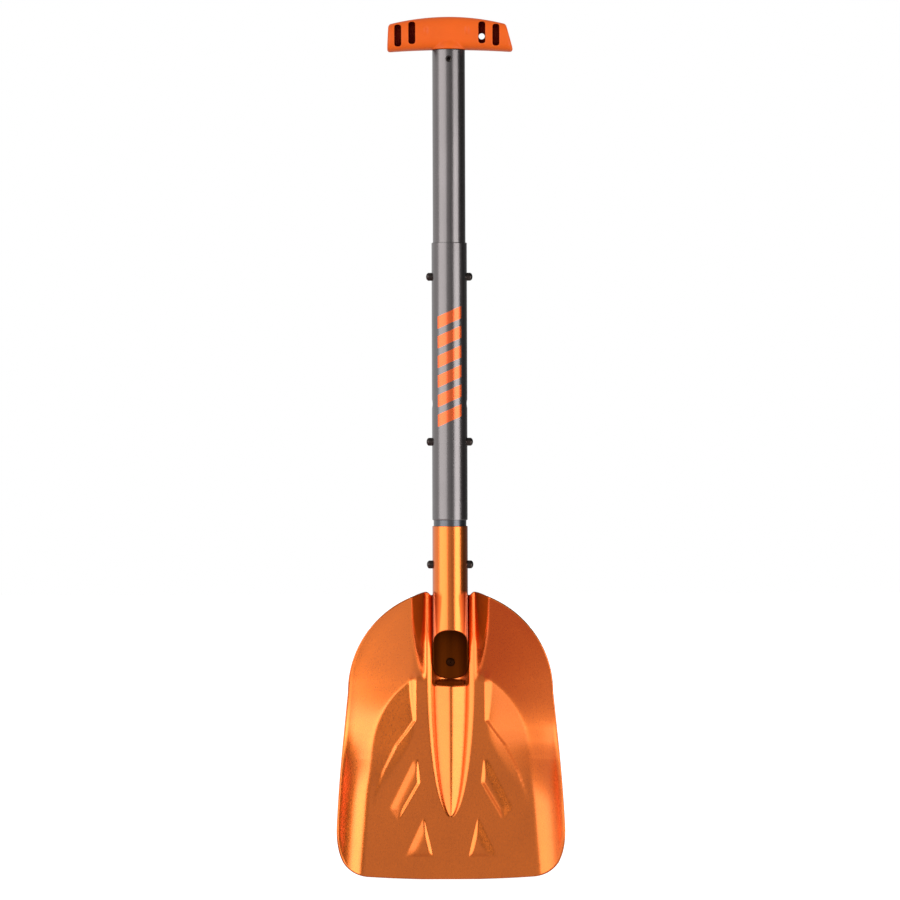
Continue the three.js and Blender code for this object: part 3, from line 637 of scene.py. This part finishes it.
def chamfered(a, z, outline, slopes, height):
    """A panel over a convex outline, with each edge rising at its own slope."""
    rise = height
    for edge, slope in zip(zip(outline[-1:] + outline[:-1], outline), slopes):
        rise = soft_min(rise, slope * inward_distance(a, z, edge), PANEL_ROUND)
    return np.maximum(rise, 0)


def wing_rise(a, z):
    """The raised wing: a step along its inner line, and a face that climbs gently outwards."""
    step = WING_STEP_ALONG * smooth(*STEP_ALONG_RISE, z) + WING_STEP_TOP * smooth(*STEP_TOP_RISE, z)
    inward = np.maximum(0, -outline_distance(a, z, WING))
    edge = soft_min(step, INNER_SLOPE * inward, WING_ROUND)
    edge = mix(np.maximum(edge, 0), step, smooth(*EDGE_FADE, z))
    foot = WING_BEND + WING_SWEEP * eased_ramp(WING_BEND_HEIGHT - z, WING_SWEEP_ROUND)
    return edge + WING_TILT * smooth(*TILT_RISE, z) * eased_ramp(a - foot, WING_TILT_ROUND)


def panel_height(a, z):
    inner, outer = INNER_SLOPE, OUTER_SLOPE
    bar = chamfered(a, z, BENT_BAR, (outer, inner, inner, outer, outer), PANEL_HEIGHT)
    arrow = chamfered(a, z, ARROW, (outer, inner, inner), PANEL_HEIGHT)
    return wing_rise(a, z) + bar + arrow * smooth(*ARROW_FADE, z)


def trough_half(z):
    along = clamp01((TROUGH_START - z) / TROUGH_LENGTH)
    return TROUGH_HALF * np.sqrt(1 - along * along)


LIP_WIDTH, LIP_CURVE = 3.5, 0.07
# Beside the tube the trough's banks drop this steeply, from this far out.
BANK_SLOPE, BANK_FOOT, BANK_ROUND = 3, 17.9, 1.0
SPINE_START, SPINE_FULL, SPINE_SLOPE, SPINE_ROUND, SPINE_DEPTH = 186.8, 180.5, 0.5, 3.2, 0.4
LEAST_SHARE = 0.05
TROUGH_ROUND = 0.5


def trough_depth(a, z):
    """How far the trough is pressed back: a cradle for the tube, then a spine that tapers out."""
    openness = trough_half(z) / TROUGH_HALF
    share = np.maximum(openness, LEAST_SHARE)
    inward = np.maximum(0, trough_half(z) + LIP_WIDTH * openness - a)
    spine_zone = 1 - smooth(SPINE_FULL, SPINE_START, z)
    bank = LIP_CURVE / share * inward ** 2
    bank = bank + mix(BANK_SLOPE, 0, spine_zone) * eased_ramp(BANK_FOOT - a, BANK_ROUND)
    edge = math.sqrt(SADDLE_RADIUS ** 2 - SADDLE_TANGENT ** 2)
    round_part = np.sqrt(np.maximum(SADDLE_RADIUS ** 2 - a * a, 0))
    cradle = np.where(a < SADDLE_TANGENT, round_part, edge)
    spine = SPINE_DEPTH + SPINE_SLOPE * eased_ramp(a, SPINE_ROUND * share)
    depth = soft_min(bank, mix(cradle, spine, spine_zone), TROUGH_ROUND)
    return np.where(inward > 0, depth, 0)


# A flat ledge runs beside the trough, and the walls rise beyond it over a run that widens
# towards the top.
LEDGE = 2.5
RUN_START, RUN_LENGTH, RUN_NARROW, RUN_WIDE = 186, 60, 3.5, 15


def beside_trough(a, z):
    upward = clamp01((z - RUN_START) / RUN_LENGTH)
    run = mix(RUN_NARROW, RUN_WIDE, 1 - (1 - upward) ** 2)
    ledge = trough_half(z) + LEDGE
    return smooth(ledge, ledge + run, a)


def sheet_front(x, z):
    a = np.abs(x)
    raised = (wall_height(a, z) + panel_height(a, z)) * beside_trough(a, z)
    return floor_plane(z) - raised + trough_depth(a, z)


BLADE_HALF_COLUMNS, BLADE_ROWS = 130, 300
# The columns stand closer in the middle, where the trough is: this share of their spacing is even.
EVEN_SHARE = 0.45
# The rim is rounded in this many steps, and stands out this far.
EDGE_STEPS = 5
EDGE_ROUND = 0.9


def grid_normals(points):
    """Unit normals of a grid of points, facing -Y."""
    across = np.gradient(points, axis=1)
    upward = np.gradient(points, axis=0)
    normal = np.cross(across, upward)
    return normal / np.linalg.norm(normal, axis=2, keepdims=True)


def border_indices(rows, columns):
    bottom = [(0, i) for i in range(columns - 1)]
    right = [(j, columns - 1) for j in range(rows - 1)]
    top = [(rows - 1, i) for i in range(columns - 1, 0, -1)]
    left = [(j, 0) for j in range(rows - 1, 0, -1)]
    return np.array(bottom + right + top + left)


def rim_rings(rim_front, rim_normal):
    """Rings of points around the sheet's border that round its rim from front to back."""
    along = np.roll(rim_front, -1, axis=0) - np.roll(rim_front, 1, axis=0)
    outward = np.cross(along, rim_normal)
    outward /= np.linalg.norm(outward, axis=1, keepdims=True)
    middle = rim_front - SHEET / 2 * rim_normal
    rings = []
    for step in range(1, EDGE_STEPS):
        angle = math.pi / 2 - math.pi * step / EDGE_STEPS
        forward = SHEET / 2 * math.sin(angle) * rim_normal
        rings.append(middle + forward + EDGE_ROUND * math.cos(angle) * outward)
    return rings


def rim_faces(loops):
    faces = []
    size = len(loops[0])
    for upper, lower in zip(loops, loops[1:]):
        for i in range(size):
            j = (i + 1) % size
            faces.append((upper[i], lower[i], lower[j], upper[j]))
    return faces


def build_blade():
    columns, rows = 2 * BLADE_HALF_COLUMNS + 1, BLADE_ROWS + 1
    k = np.linspace(-1, 1, columns)
    u, v = np.meshgrid(EVEN_SHARE * k + (1 - EVEN_SHARE) * k ** 3, np.linspace(0, 1, rows))
    x, z = sheet_points(u, v)
    front = np.stack([x, sheet_front(x, z), z], axis=2)
    normal = grid_normals(front)
    back = front - SHEET * normal
    border = border_indices(rows, columns)
    rings = rim_rings(front[border[:, 0], border[:, 1]], normal[border[:, 0], border[:, 1]])
    points = np.concatenate([front.reshape(-1, 3), back.reshape(-1, 3)] + rings)
    count, size = rows * columns, len(border)
    faces = []
    for a, b, c, d in grid_faces(rows, columns, wrap_columns=False):
        faces.append((a, b, c, d))
        faces.append((a + count, d + count, c + count, b + count))
    front_loop = border[:, 0] * columns + border[:, 1]
    between = [np.arange(size) + 2 * count + step * size for step in range(EDGE_STEPS - 1)]
    faces += rim_faces([front_loop, *between, front_loop + count])
    return new_object("blade_sheet", points * MM, faces)


blade = finish_mesh(build_blade(), 60)
place(blade, "blade", sheet_metal, "anodised_orange_sheet")

# ---- tubes -------------------------------------------------------------------------------------

WALL = 1.1 * MM
LIP = 0.35 * MM
TUBE_SIDES = 144
BUTTON_HOLE_RADIUS = 4.1 * MM
PIN_HOLE_RADIUS = 3.0 * MM
CUTTER_REACH = 40 * MM


def tube_profile(radius, low, high, taper):
    """Closed (radius, height) loop of a tube with rounded lips, starting inside the foot.

    Rings close to both ends keep the shading of the lips from spreading along the tube. The
    foot is drawn in by the taper.
    """
    bore, near_high, near_low = radius - WALL, high - 1.5 * MM, low + 1.5 * MM + taper
    corners = [(bore - taper, low), (radius - taper, low), (radius, near_low), (radius, near_high),
               (radius, high), (bore, high), (bore, near_high), (bore, near_low)]
    loop = corners + corners[:2]
    return rounded(loop, LIP, 3)[1:-1]


def sleeve(name, node, slant=None, taper=0.0):
    """A fine tube of the same size as a CAD tube; slant gives how far a point of its foot rises."""
    low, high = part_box(node)
    profile = tube_profile(high.x, low.z, high.z, taper)
    obj = turned(name, profile, TUBE_SIDES, closed=True)
    if slant:
        middle = (low.z + high.z) / 2
        for vertex in obj.data.vertices:
            if vertex.co.z < middle:
                vertex.co.z += slant(vertex.co)
    return obj


def side_holes(heights, direction=(1, 0, 0), radius=BUTTON_HOLE_RADIUS):
    """Cutters for holes straight through both walls of a tube."""
    cutters = []
    for height in heights:
        reach = Vector(direction) * CUTTER_REACH
        centre = Vector((0, 0, height))
        cutters.append(cylinder_between("cutter", centre - reach, centre + reach, radius))
    return cutters


def node_height(node):
    low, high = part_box(node)
    return (low.z + high.z) / 2


# How far the handle tube slides in from its long lock position to its short one.
BETWEEN_LOCKS = 120 * MM

TUBE_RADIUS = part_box("socket_tube")[1].x
socket_height = node_height("socket_button_left")
shaft_height = node_height("shaft_button_left")
telescope_height = node_height("telescope_button_left")
collapsed_height = telescope_height - BETWEEN_LOCKS
pin_height = node_height("grip_pin")

# The shaft tube narrows by this much at its foot.
FOOT_TAPER = 0.12 * MM
MOUTH_RISE = 47.5 * MM
MOUTH_POWER = 0.4


def mouth_slant(point):
    """The rise of a mouth that arches over the front and runs straight down both sides."""
    share = max(-1.0, min(1.0, point.y / TUBE_RADIUS))
    return MOUTH_RISE / 2 * (1 - math.copysign(abs(share) ** MOUTH_POWER, share))


socket = sleeve("socket_sleeve", "socket_tube", mouth_slant)
boolean(socket, side_holes([socket_height]))
place(finish_mesh(socket), "socket_tube", orange_tube_metal, "anodised_orange_tube")

coupler = sleeve("coupler_sleeve", "coupler_tube")
boolean(coupler, side_holes([socket_height, shaft_height]))
place(finish_mesh(coupler), "coupler_tube", coupler_metal, "anodised_grey_tube")

shaft = sleeve("shaft_sleeve", "shaft_tube", taper=FOOT_TAPER)
boolean(shaft, side_holes([shaft_height, collapsed_height, telescope_height]))
place(finish_mesh(shaft), "shaft_tube", printed_tube_metal, "anodised_grey_tube")

handle = sleeve("handle_sleeve", "handle_tube")
pin_holes = side_holes([pin_height], (0, 1, 0), PIN_HOLE_RADIUS)
boolean(handle, side_holes([telescope_height]) + pin_holes)
place(finish_mesh(handle), "handle_tube", grey_tube_metal, "anodised_grey_tube")

# ---- snap buttons and rivets -------------------------------------------------------------------


# A turned profile stops this far from its axis, where a flat cap closes it.
CORE = 0.2 * MM
FINE_CORE = 0.1 * MM
BUTTON_LENGTH, BUTTON_DOME, BUTTON_EDGE = 9.1 * MM, 2.6 * MM, 0.3 * MM
TAIL_RADIUS, TAIL_HEAD_RADIUS, TAIL_HEAD_THICKNESS = 1.6 * MM, 2.8 * MM, 1.2 * MM


def laid_along(obj, axis, quarter_turns, height):
    """Turns a solid of revolution over about X or Y and lifts it to a height."""
    turn = Matrix.Rotation(quarter_turns * math.pi / 2, 4, axis)
    obj.data.transform(Matrix.Translation((0, 0, height)) @ turn)
    return obj


def snap_button(name, node, side):
    """A domed button on a tail that is headed over inside the spring's leg."""
    low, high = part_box(node)
    radius = (high.z - low.z) / 2
    tip, tail = max(abs(low.x), abs(high.x)), min(abs(low.x), abs(high.x))
    shoulder, tail_head = tip - BUTTON_LENGTH, tail + TAIL_HEAD_THICKNESS
    dome = [(radius * math.cos(t), tip - BUTTON_DOME + BUTTON_DOME * math.sin(t))
            for t in np.linspace(0, math.pi / 2, 14)[:-1]]
    body = [(CORE, tail), (TAIL_HEAD_RADIUS, tail), (TAIL_HEAD_RADIUS, tail_head),
            (TAIL_RADIUS, tail_head), (TAIL_RADIUS, shoulder), (radius, shoulder), dome[0]]
    obj = turned(name, rounded(body, BUTTON_EDGE) + dome[1:] + [(CORE, tip)], SMALL_SIDES)
    return finish_mesh(laid_along(obj, "Y", side, node_height(node)))


def leaf_half(name, node, side):
    """Half of a bowed leaf: the clip spring's part on one side of its middle, closed at the cut."""
    spring = frame["nodes"][node]
    shape = bmesh.new()
    shape.from_mesh(spring.data)
    shape.transform(spring.matrix_world)
    bmesh.ops.remove_doubles(shape, verts=shape.verts, dist=1e-6)
    whole = [*shape.verts, *shape.edges, *shape.faces]
    bmesh.ops.bisect_plane(shape, geom=whole, dist=1e-6, plane_co=(0, 0, 0), plane_no=(side, 0, 0),
                           clear_inner=True)
    bmesh.ops.holes_fill(shape, edges=shape.edges)
    obj = new_object(name, [], [])
    shape.to_mesh(obj.data)
    shape.free()
    obj.data.materials.clear()
    obj.data.materials.append(spring_steel)
    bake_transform(obj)
    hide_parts(node)
    return finish_mesh(obj)


for clip in ("socket", "shaft", "telescope"):
    for side_name, side in (("left", -1), ("right", 1)):
        node = f"{clip}_button_{side_name}"
        place(snap_button(f"{clip}_snap_{side_name}", node, side), node, button_steel, "button_steel")
        leaf_half(f"{clip}_leaf_{side_name}", f"{clip}_clip_spring", side)


RIVET_HEAD, RIVET_SEAT, RIVET_CROWN, RIVET_SHANK = 4.0 * MM, 1.5 * MM, 1.3 * MM, 2.4 * MM
RIVET_BACK_CROWN = 1.7 * MM
MANDREL_HOLE = 0.9 * MM


def rivet(name, node):
    """A rivet with a low round head inside the tube and a domed one behind the blade.

    The inner head has a sunk hole in its middle, left by the rivet's mandrel.
    """
    low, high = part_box(node)
    back_head = (high.x - low.x) / 2
    seat, back_seat = low.y + RIVET_SEAT - AXIS_Y, high.y - RIVET_BACK_CROWN - AXIS_Y
    crown = [(RIVET_HEAD * math.cos(t), seat - RIVET_CROWN * math.sin(t))
             for t in np.linspace(1.3, 0, 10)]
    back_crown = [(back_head * math.cos(t), back_seat + RIVET_BACK_CROWN * math.sin(t))
                  for t in np.linspace(0, math.pi / 2, 10)]
    back_crown[-1] = (FINE_CORE, back_crown[-1][1])
    profile = [(FINE_CORE, seat), (MANDREL_HOLE, seat), *crown, (RIVET_SHANK, seat),
               (RIVET_SHANK, back_seat), *back_crown]
    return finish_mesh(laid_along(turned(name, profile, SMALL_SIDES), "X", -1, node_height(node)))


for end in ("lower", "upper"):
    node = f"blade_rivet_{end}"
    place(rivet(f"blade_rivet_{end}_round", node), node, rivet_metal, "rivet_aluminium")

# ---- grip --------------------------------------------------------------------------------------

# The cross-piece, in millimetres. It is a little longer on its right, and its ends lean.
GRIP_FOOT, GRIP_ARCH, GRIP_UNDER_ARCH = 782.5, 7.1, 2.1
GRIP_HALF_DEPTH, GRIP_DEPTH_TAPER, GRIP_SQUARENESS = 15, 0.14, 3.2
GRIP_LEFT, GRIP_LEFT_LEAN, GRIP_RIGHT, GRIP_RIGHT_LEAN = 58.0, 1.0, 60.6, 5.8
GRIP_HALF_LENGTH, GRIP_END_ROUND = 59, 2.6
GRIP_STATIONS, GRIP_AROUND, COLLAR_SIDES = 101, 96, 96
COLLAR_RADIUS, COLLAR_DOME, PLUG_RADIUS, PLUG_LEAD = 16.9 * MM, 13 * MM, 14.0 * MM, 1 * MM
GRIP_VOXEL, GRIP_RELAXING = 0.55 * MM, 9

# Slots as (middle, bottom, top), cored from both faces down to a web in the middle.
SLOTS = [(-47.9, 785.0, 805.7), (-34.6, 787.3, 808.4), (31.4, 787.7, 808.4), (44.7, 785.6, 806.2)]
SLOT_WIDTH, SLOT_CORNER, SLOT_REACH, SLOT_WEB = 6.3, 2.2, 22, 5
LANYARD_HEIGHT, LANYARD_RADIUS = 795.2 * MM, 3 * MM
DIMPLES, DIMPLE_HEIGHT, DIMPLE_DEPTH = (-21.5, 17.5), 800, 15.6
DIMPLE_SIZE = (2.6 * MM, 1.9 * MM, 5.5 * MM)


def cross_piece(top_height):
    """The grip's bar: a rounded section that arches, with its two ends drawn in."""
    s = np.sin(np.linspace(-math.pi / 2, math.pi / 2, GRIP_STATIONS))
    angle = np.linspace(0, 2 * math.pi, GRIP_AROUND, endpoint=False)
    s, angle = np.meshgrid(s, angle, indexing="ij")
    from_end = GRIP_HALF_LENGTH - np.abs(s) * GRIP_HALF_LENGTH
    into_end = clamp01((GRIP_END_ROUND - from_end) / GRIP_END_ROUND)
    drawn_in = GRIP_END_ROUND * (1 - np.sqrt(1 - into_end ** 2))
    top = top_height / MM - GRIP_ARCH * s * s - drawn_in
    bottom = GRIP_FOOT - GRIP_UNDER_ARCH * s * s + drawn_in
    power = 2 / GRIP_SQUARENESS
    across = np.sign(np.cos(angle)) * np.abs(np.cos(angle)) ** power
    upward = np.sign(np.sin(angle)) * np.abs(np.sin(angle)) ** power
    z = (top + bottom) / 2 + upward * (top - bottom) / 2
    y = across * (GRIP_HALF_DEPTH * (1 - GRIP_DEPTH_TAPER * s * s) - drawn_in)
    share = clamp01((z - bottom) / (top - bottom))
    reach = np.where(s < 0, GRIP_LEFT - GRIP_LEFT_LEAN * share, GRIP_RIGHT - GRIP_RIGHT_LEAN * share)
    faces = [tuple(reversed(f)) for f in grid_faces(GRIP_STATIONS, GRIP_AROUND)]
    last = (GRIP_STATIONS - 1) * GRIP_AROUND
    faces.append(tuple(range(GRIP_AROUND)))
    faces.append(tuple(reversed(range(last, last + GRIP_AROUND))))
    return new_object("grip_moulding", np.stack([s * reach, y, z], axis=2).reshape(-1, 3) * MM, faces)


def build_grip():
    low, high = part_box("grip")
    foot = GRIP_FOOT * MM
    shoulder, into_collar = foot + 1 * MM, foot + 5 * MM
    dome = [(COLLAR_RADIUS * math.cos(t), shoulder + COLLAR_DOME * math.sin(t))
            for t in np.linspace(0, 1.5, 24)]
    collar = turned("collar", [(COLLAR_RADIUS, foot)] + dome, COLLAR_SIDES)
    plug = turned("plug", [(PLUG_RADIUS - PLUG_LEAD, low.z), (PLUG_RADIUS, low.z + PLUG_LEAD),
                           (PLUG_RADIUS, into_collar)], COLLAR_SIDES)
    body = boolean(cross_piece(high.z), [collar, plug], "UNION")
    return boolean(body, grip_cutters())


def cutter_through(name, x, height, radius):
    return cylinder_between(name, (x, -CUTTER_REACH, height), (x, CUTTER_REACH, height), radius)


def grip_cutters():
    """The slots, the lanyard's hole in the third of them, the pin's bore and four dimples."""
    cutters = []
    for x, low, high in SLOTS:
        for side in (-1, 1):
            cutters.append(slot_cutter(x, low, high, SLOT_WEB / 2 * side, SLOT_REACH * side))
    cutters.append(cutter_through("lanyard", SLOTS[2][0] * MM, LANYARD_HEIGHT, LANYARD_RADIUS))
    cutters.append(cutter_through("pin_bore", 0, pin_height, PIN_HOLE_RADIUS))
    return cutters + [dimple(x, side) for x in DIMPLES for side in (-1, 1)]


def slot_cutter(x, low, high, near, far):
    """An upright bar with rounded corners, reaching from near to far along Y."""
    half = SLOT_WIDTH / 2
    corners = [(1, high, 0), (-1, high, 90), (-1, low, 180), (1, low, 270)]
    outline = []
    for side, end, start in corners:
        inner_x = x + side * (half - SLOT_CORNER)
        inner_z = end - SLOT_CORNER if end == high else end + SLOT_CORNER
        for angle in np.radians(np.linspace(start, start + 90, 7)):
            outline.append((inner_x + SLOT_CORNER * math.cos(angle),
                            inner_z + SLOT_CORNER * math.sin(angle)))
    points = [(px * MM, depth * MM, pz * MM) for depth in (near, far) for px, pz in outline]
    count = len(outline)
    faces = [(i, (i + 1) % count, (i + 1) % count + count, i + count) for i in range(count)]
    return new_object("slot", points, faces + [tuple(range(count)), tuple(range(count, 2 * count))])


def dimple(x, side):
    """A shallow upright oval hollow, as the moulding sinks a little over its inner ribs."""
    arc = [(max(math.sin(t), 0.01), -math.cos(t)) for t in np.linspace(0, math.pi, 17)]
    ball = turned("dimple", arc, 32)
    centre = Vector((x, side * DIMPLE_DEPTH, DIMPLE_HEIGHT)) * MM
    ball.data.transform(Matrix.Translation(centre) @ Matrix.Diagonal((*DIMPLE_SIZE, 1)))
    return ball


def soften(obj, voxel, rounds):
    """Remeshes a sharp-edged moulding and relaxes it, so that every edge gets a small radius."""
    remesh = obj.modifiers.new("remesh", "REMESH")
    remesh.mode = "VOXEL"
    remesh.voxel_size = voxel
    relax = obj.modifiers.new("relax", "SMOOTH")
    relax.factor = 0.5
    relax.iterations = rounds
    return bake_modifiers(obj)


grip = soften(build_grip(), GRIP_VOXEL, GRIP_RELAXING)
place(finish_mesh(grip, 80), "grip", grip_plastic, "grip_plastic")


PIN_BORE, PIN_WEB, PIN_EDGE = 1.7 * MM, 0.5 * MM, 0.4 * MM


def grip_pin():
    """A tubular cross pin, closed by a thin web half way along."""
    low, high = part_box("grip_pin")
    radius, half = (high.x - low.x) / 2, (high.y - low.y) / 2
    corners = [(FINE_CORE, -PIN_WEB), (PIN_BORE, -PIN_WEB), (PIN_BORE, -half), (radius, -half),
               (radius, half), (PIN_BORE, half), (PIN_BORE, PIN_WEB), (FINE_CORE, PIN_WEB)]
    obj = turned("grip_cross_pin", rounded(corners, PIN_EDGE), 48)
    return finish_mesh(laid_along(obj, "X", -1, pin_height))


place(grip_pin(), "grip_pin", button_steel, "button_steel")

# ---- studio ------------------------------------------------------------------------------------


FLOOR_SIZE, FLOOR_GAP = 9.0, 0.5 * MM


def floor():
    """A pale floor. Reflections and lamps pass through it, so the metal sees only the studio."""
    size, low = FLOOR_SIZE, cad_box[0].z - FLOOR_GAP
    corners = [(-size, -size, low), (size, -size, low), (size, size, low), (-size, size, low)]
    obj = new_object("studio_floor", corners, [(0, 1, 2, 3)])
    nodes = Nodes("pale_floor")
    path = nodes.add("LightPath").outputs
    passing = nodes.math("ADD", path["Is Glossy Ray"], path["Is Shadow Ray"], True)
    diffuse = nodes.add("BsdfDiffuse", None, Color=colour(0.62, 0.62, 0.62))
    glow = nodes.add("Emission", None, Color=colour(1, 1, 1))
    nodes.put(glow, "Strength", nodes.math("MULTIPLY", path["Is Camera Ray"], 0.8))
    both = nodes.add("AddShader", None, _0=diffuse.outputs[0], _1=glow.outputs[0])
    clear = nodes.add("BsdfTransparent")
    floor_mix = nodes.add("MixShader", None, _0=passing, _1=both.outputs[0], _2=clear.outputs[0])
    obj.data.materials.append(nodes.surface(floor_mix))


# What the metal sees of the room, as brightness from the far left to the far right of the
# studio: level with the object, and looking down and up past it. Below and to the left it sees
# a warm floor.
ROOM_LEVEL = ((0.0, 0.90), (0.3, 0.62), (0.5, 0.56), (0.62, 0.31), (0.8, 0.14), (1.0, 0.06))
ROOM_BELOW = ((0.0, 0.32), (0.35, 0.32), (0.5, 0.40), (0.62, 0.70), (0.8, 0.85), (1.0, 0.45))
WARM_BELOW = colour(0.48, 0.2688, 0.288)
ROOM_ABOVE = ((0.0, 0.60), (0.45, 0.45), (0.62, 0.10), (1.0, 0.06))


class WorldNodes(Nodes):
    """The same wrapper for the world's nodes."""

    def __init__(self, name):
        self.material = bpy.data.worlds.new(name)
        self.material.use_nodes = True
        self.tree = self.material.node_tree
        self.tree.nodes.clear()
        self.output = self.tree.nodes.new("ShaderNodeOutputWorld")

    def ramp(self, value, stops):
        """A brightness that eases through (place, level) stops."""
        node = self.add("ValToRGB", None, Fac=value)
        node.color_ramp.interpolation = "EASE"
        points = node.color_ramp.elements
        for place, level in stops[2:]:
            points.new(place)
        for point, (place, level) in zip(points, stops):
            point.position, point.color = place, (level, level, level, 1)
        return node.outputs[0]


def world():
    """White to the camera, soft white to plastic, and the room's brightness to the metal."""
    nodes = WorldNodes("studio")
    path = nodes.add("LightPath").outputs
    direction = nodes.add("TexCoord").outputs["Generated"]
    x, y, z = nodes.add("SeparateXYZ", None, Vector=direction).outputs
    across = nodes.remap(x, -1.0, 1.0, 0.0, 1.0)
    below = nodes.remap(z, -0.12, -0.55, 0.0, 1.0)
    above = nodes.remap(z, 0.10, 0.38, 0.0, 1.0)
    warm = nodes.remap(x, 0.0, -0.3, 0.0, 1.0)
    low = nodes.blend(warm, nodes.ramp(across, ROOM_BELOW), WARM_BELOW)
    room = nodes.blend(below, nodes.ramp(across, ROOM_LEVEL), low)
    room = nodes.blend(above, room, nodes.ramp(across, ROOM_ABOVE))
    to_metal = nodes.add("Background", None, Color=room)
    to_plastic = nodes.add("Background", None, Color=colour(1, 1, 1), Strength=0.75)
    seen = nodes.add("Background", None, Color=colour(1, 1, 1), Strength=1.0)
    kind = nodes.add("MixShader", None, _0=path["Is Glossy Ray"], _1=to_plastic.outputs[0],
                     _2=to_metal.outputs[0])
    final = nodes.add("MixShader", None, _0=path["Is Camera Ray"], _1=kind.outputs[0],
                      _2=seen.outputs[0])
    nodes.surface(final)
    nodes.material.cycles.sampling_method = "NONE"
    bpy.context.scene.world = nodes.material


LAMP_DISTANCE = 4.0


def softbox(name, azimuth, half_width, low, high, radiance, target):
    """A tall area light given by the directions it fills, in degrees seen from the target.

    Azimuth is measured from the camera's side, positive to the right.
    """
    bottom, top = (LAMP_DISTANCE * math.tan(math.radians(e)) for e in (low, high))
    data = bpy.data.lights.new(name, "AREA")
    data.shape = "RECTANGLE"
    data.size = 2 * LAMP_DISTANCE * math.tan(math.radians(half_width))
    data.size_y = top - bottom
    data.energy = radiance * math.pi * data.size * data.size_y
    obj = bpy.data.objects.new(name, data)
    bpy.context.scene.collection.objects.link(obj)
    angle = math.radians(azimuth)
    obj.location = target + Vector((math.sin(angle), -math.cos(angle), 0)) * LAMP_DISTANCE
    obj.location.z += (bottom + top) / 2
    obj.rotation_euler = (math.radians(90), 0, angle)


# The camera stands level in front and far off, and is rolled a little.
CAMERA_DISTANCE, FIELD_WIDTH = 4.6, 0.851
CAMERA_ROLL = -0.18


def camera(target):
    data = bpy.data.cameras.new("camera")
    data.sensor_width = 36.0
    data.lens = data.sensor_width * CAMERA_DISTANCE / FIELD_WIDTH
    data.clip_end = 50.0
    obj = bpy.data.objects.new("camera", data)
    obj.location = target + Vector((0, -CAMERA_DISTANCE, 0))
    roll = Matrix.Rotation(math.radians(CAMERA_ROLL), 3, "Z")
    obj.rotation_euler = (Matrix.Rotation(math.radians(90), 3, "X") @ roll).to_euler()
    bpy.context.scene.collection.objects.link(obj)
    bpy.context.scene.camera = obj


middle = Vector((0.0002, AXIS_Y, 404.2 * MM))
floor()
world()
softbox("left_softbox", -46.5, 28, -12, 24, 1.9, middle)
softbox("right_softbox", 49, 19, -24, 12, 3.5, middle)
camera(middle)
bpy.context.scene.view_settings.view_transform = "Standard"
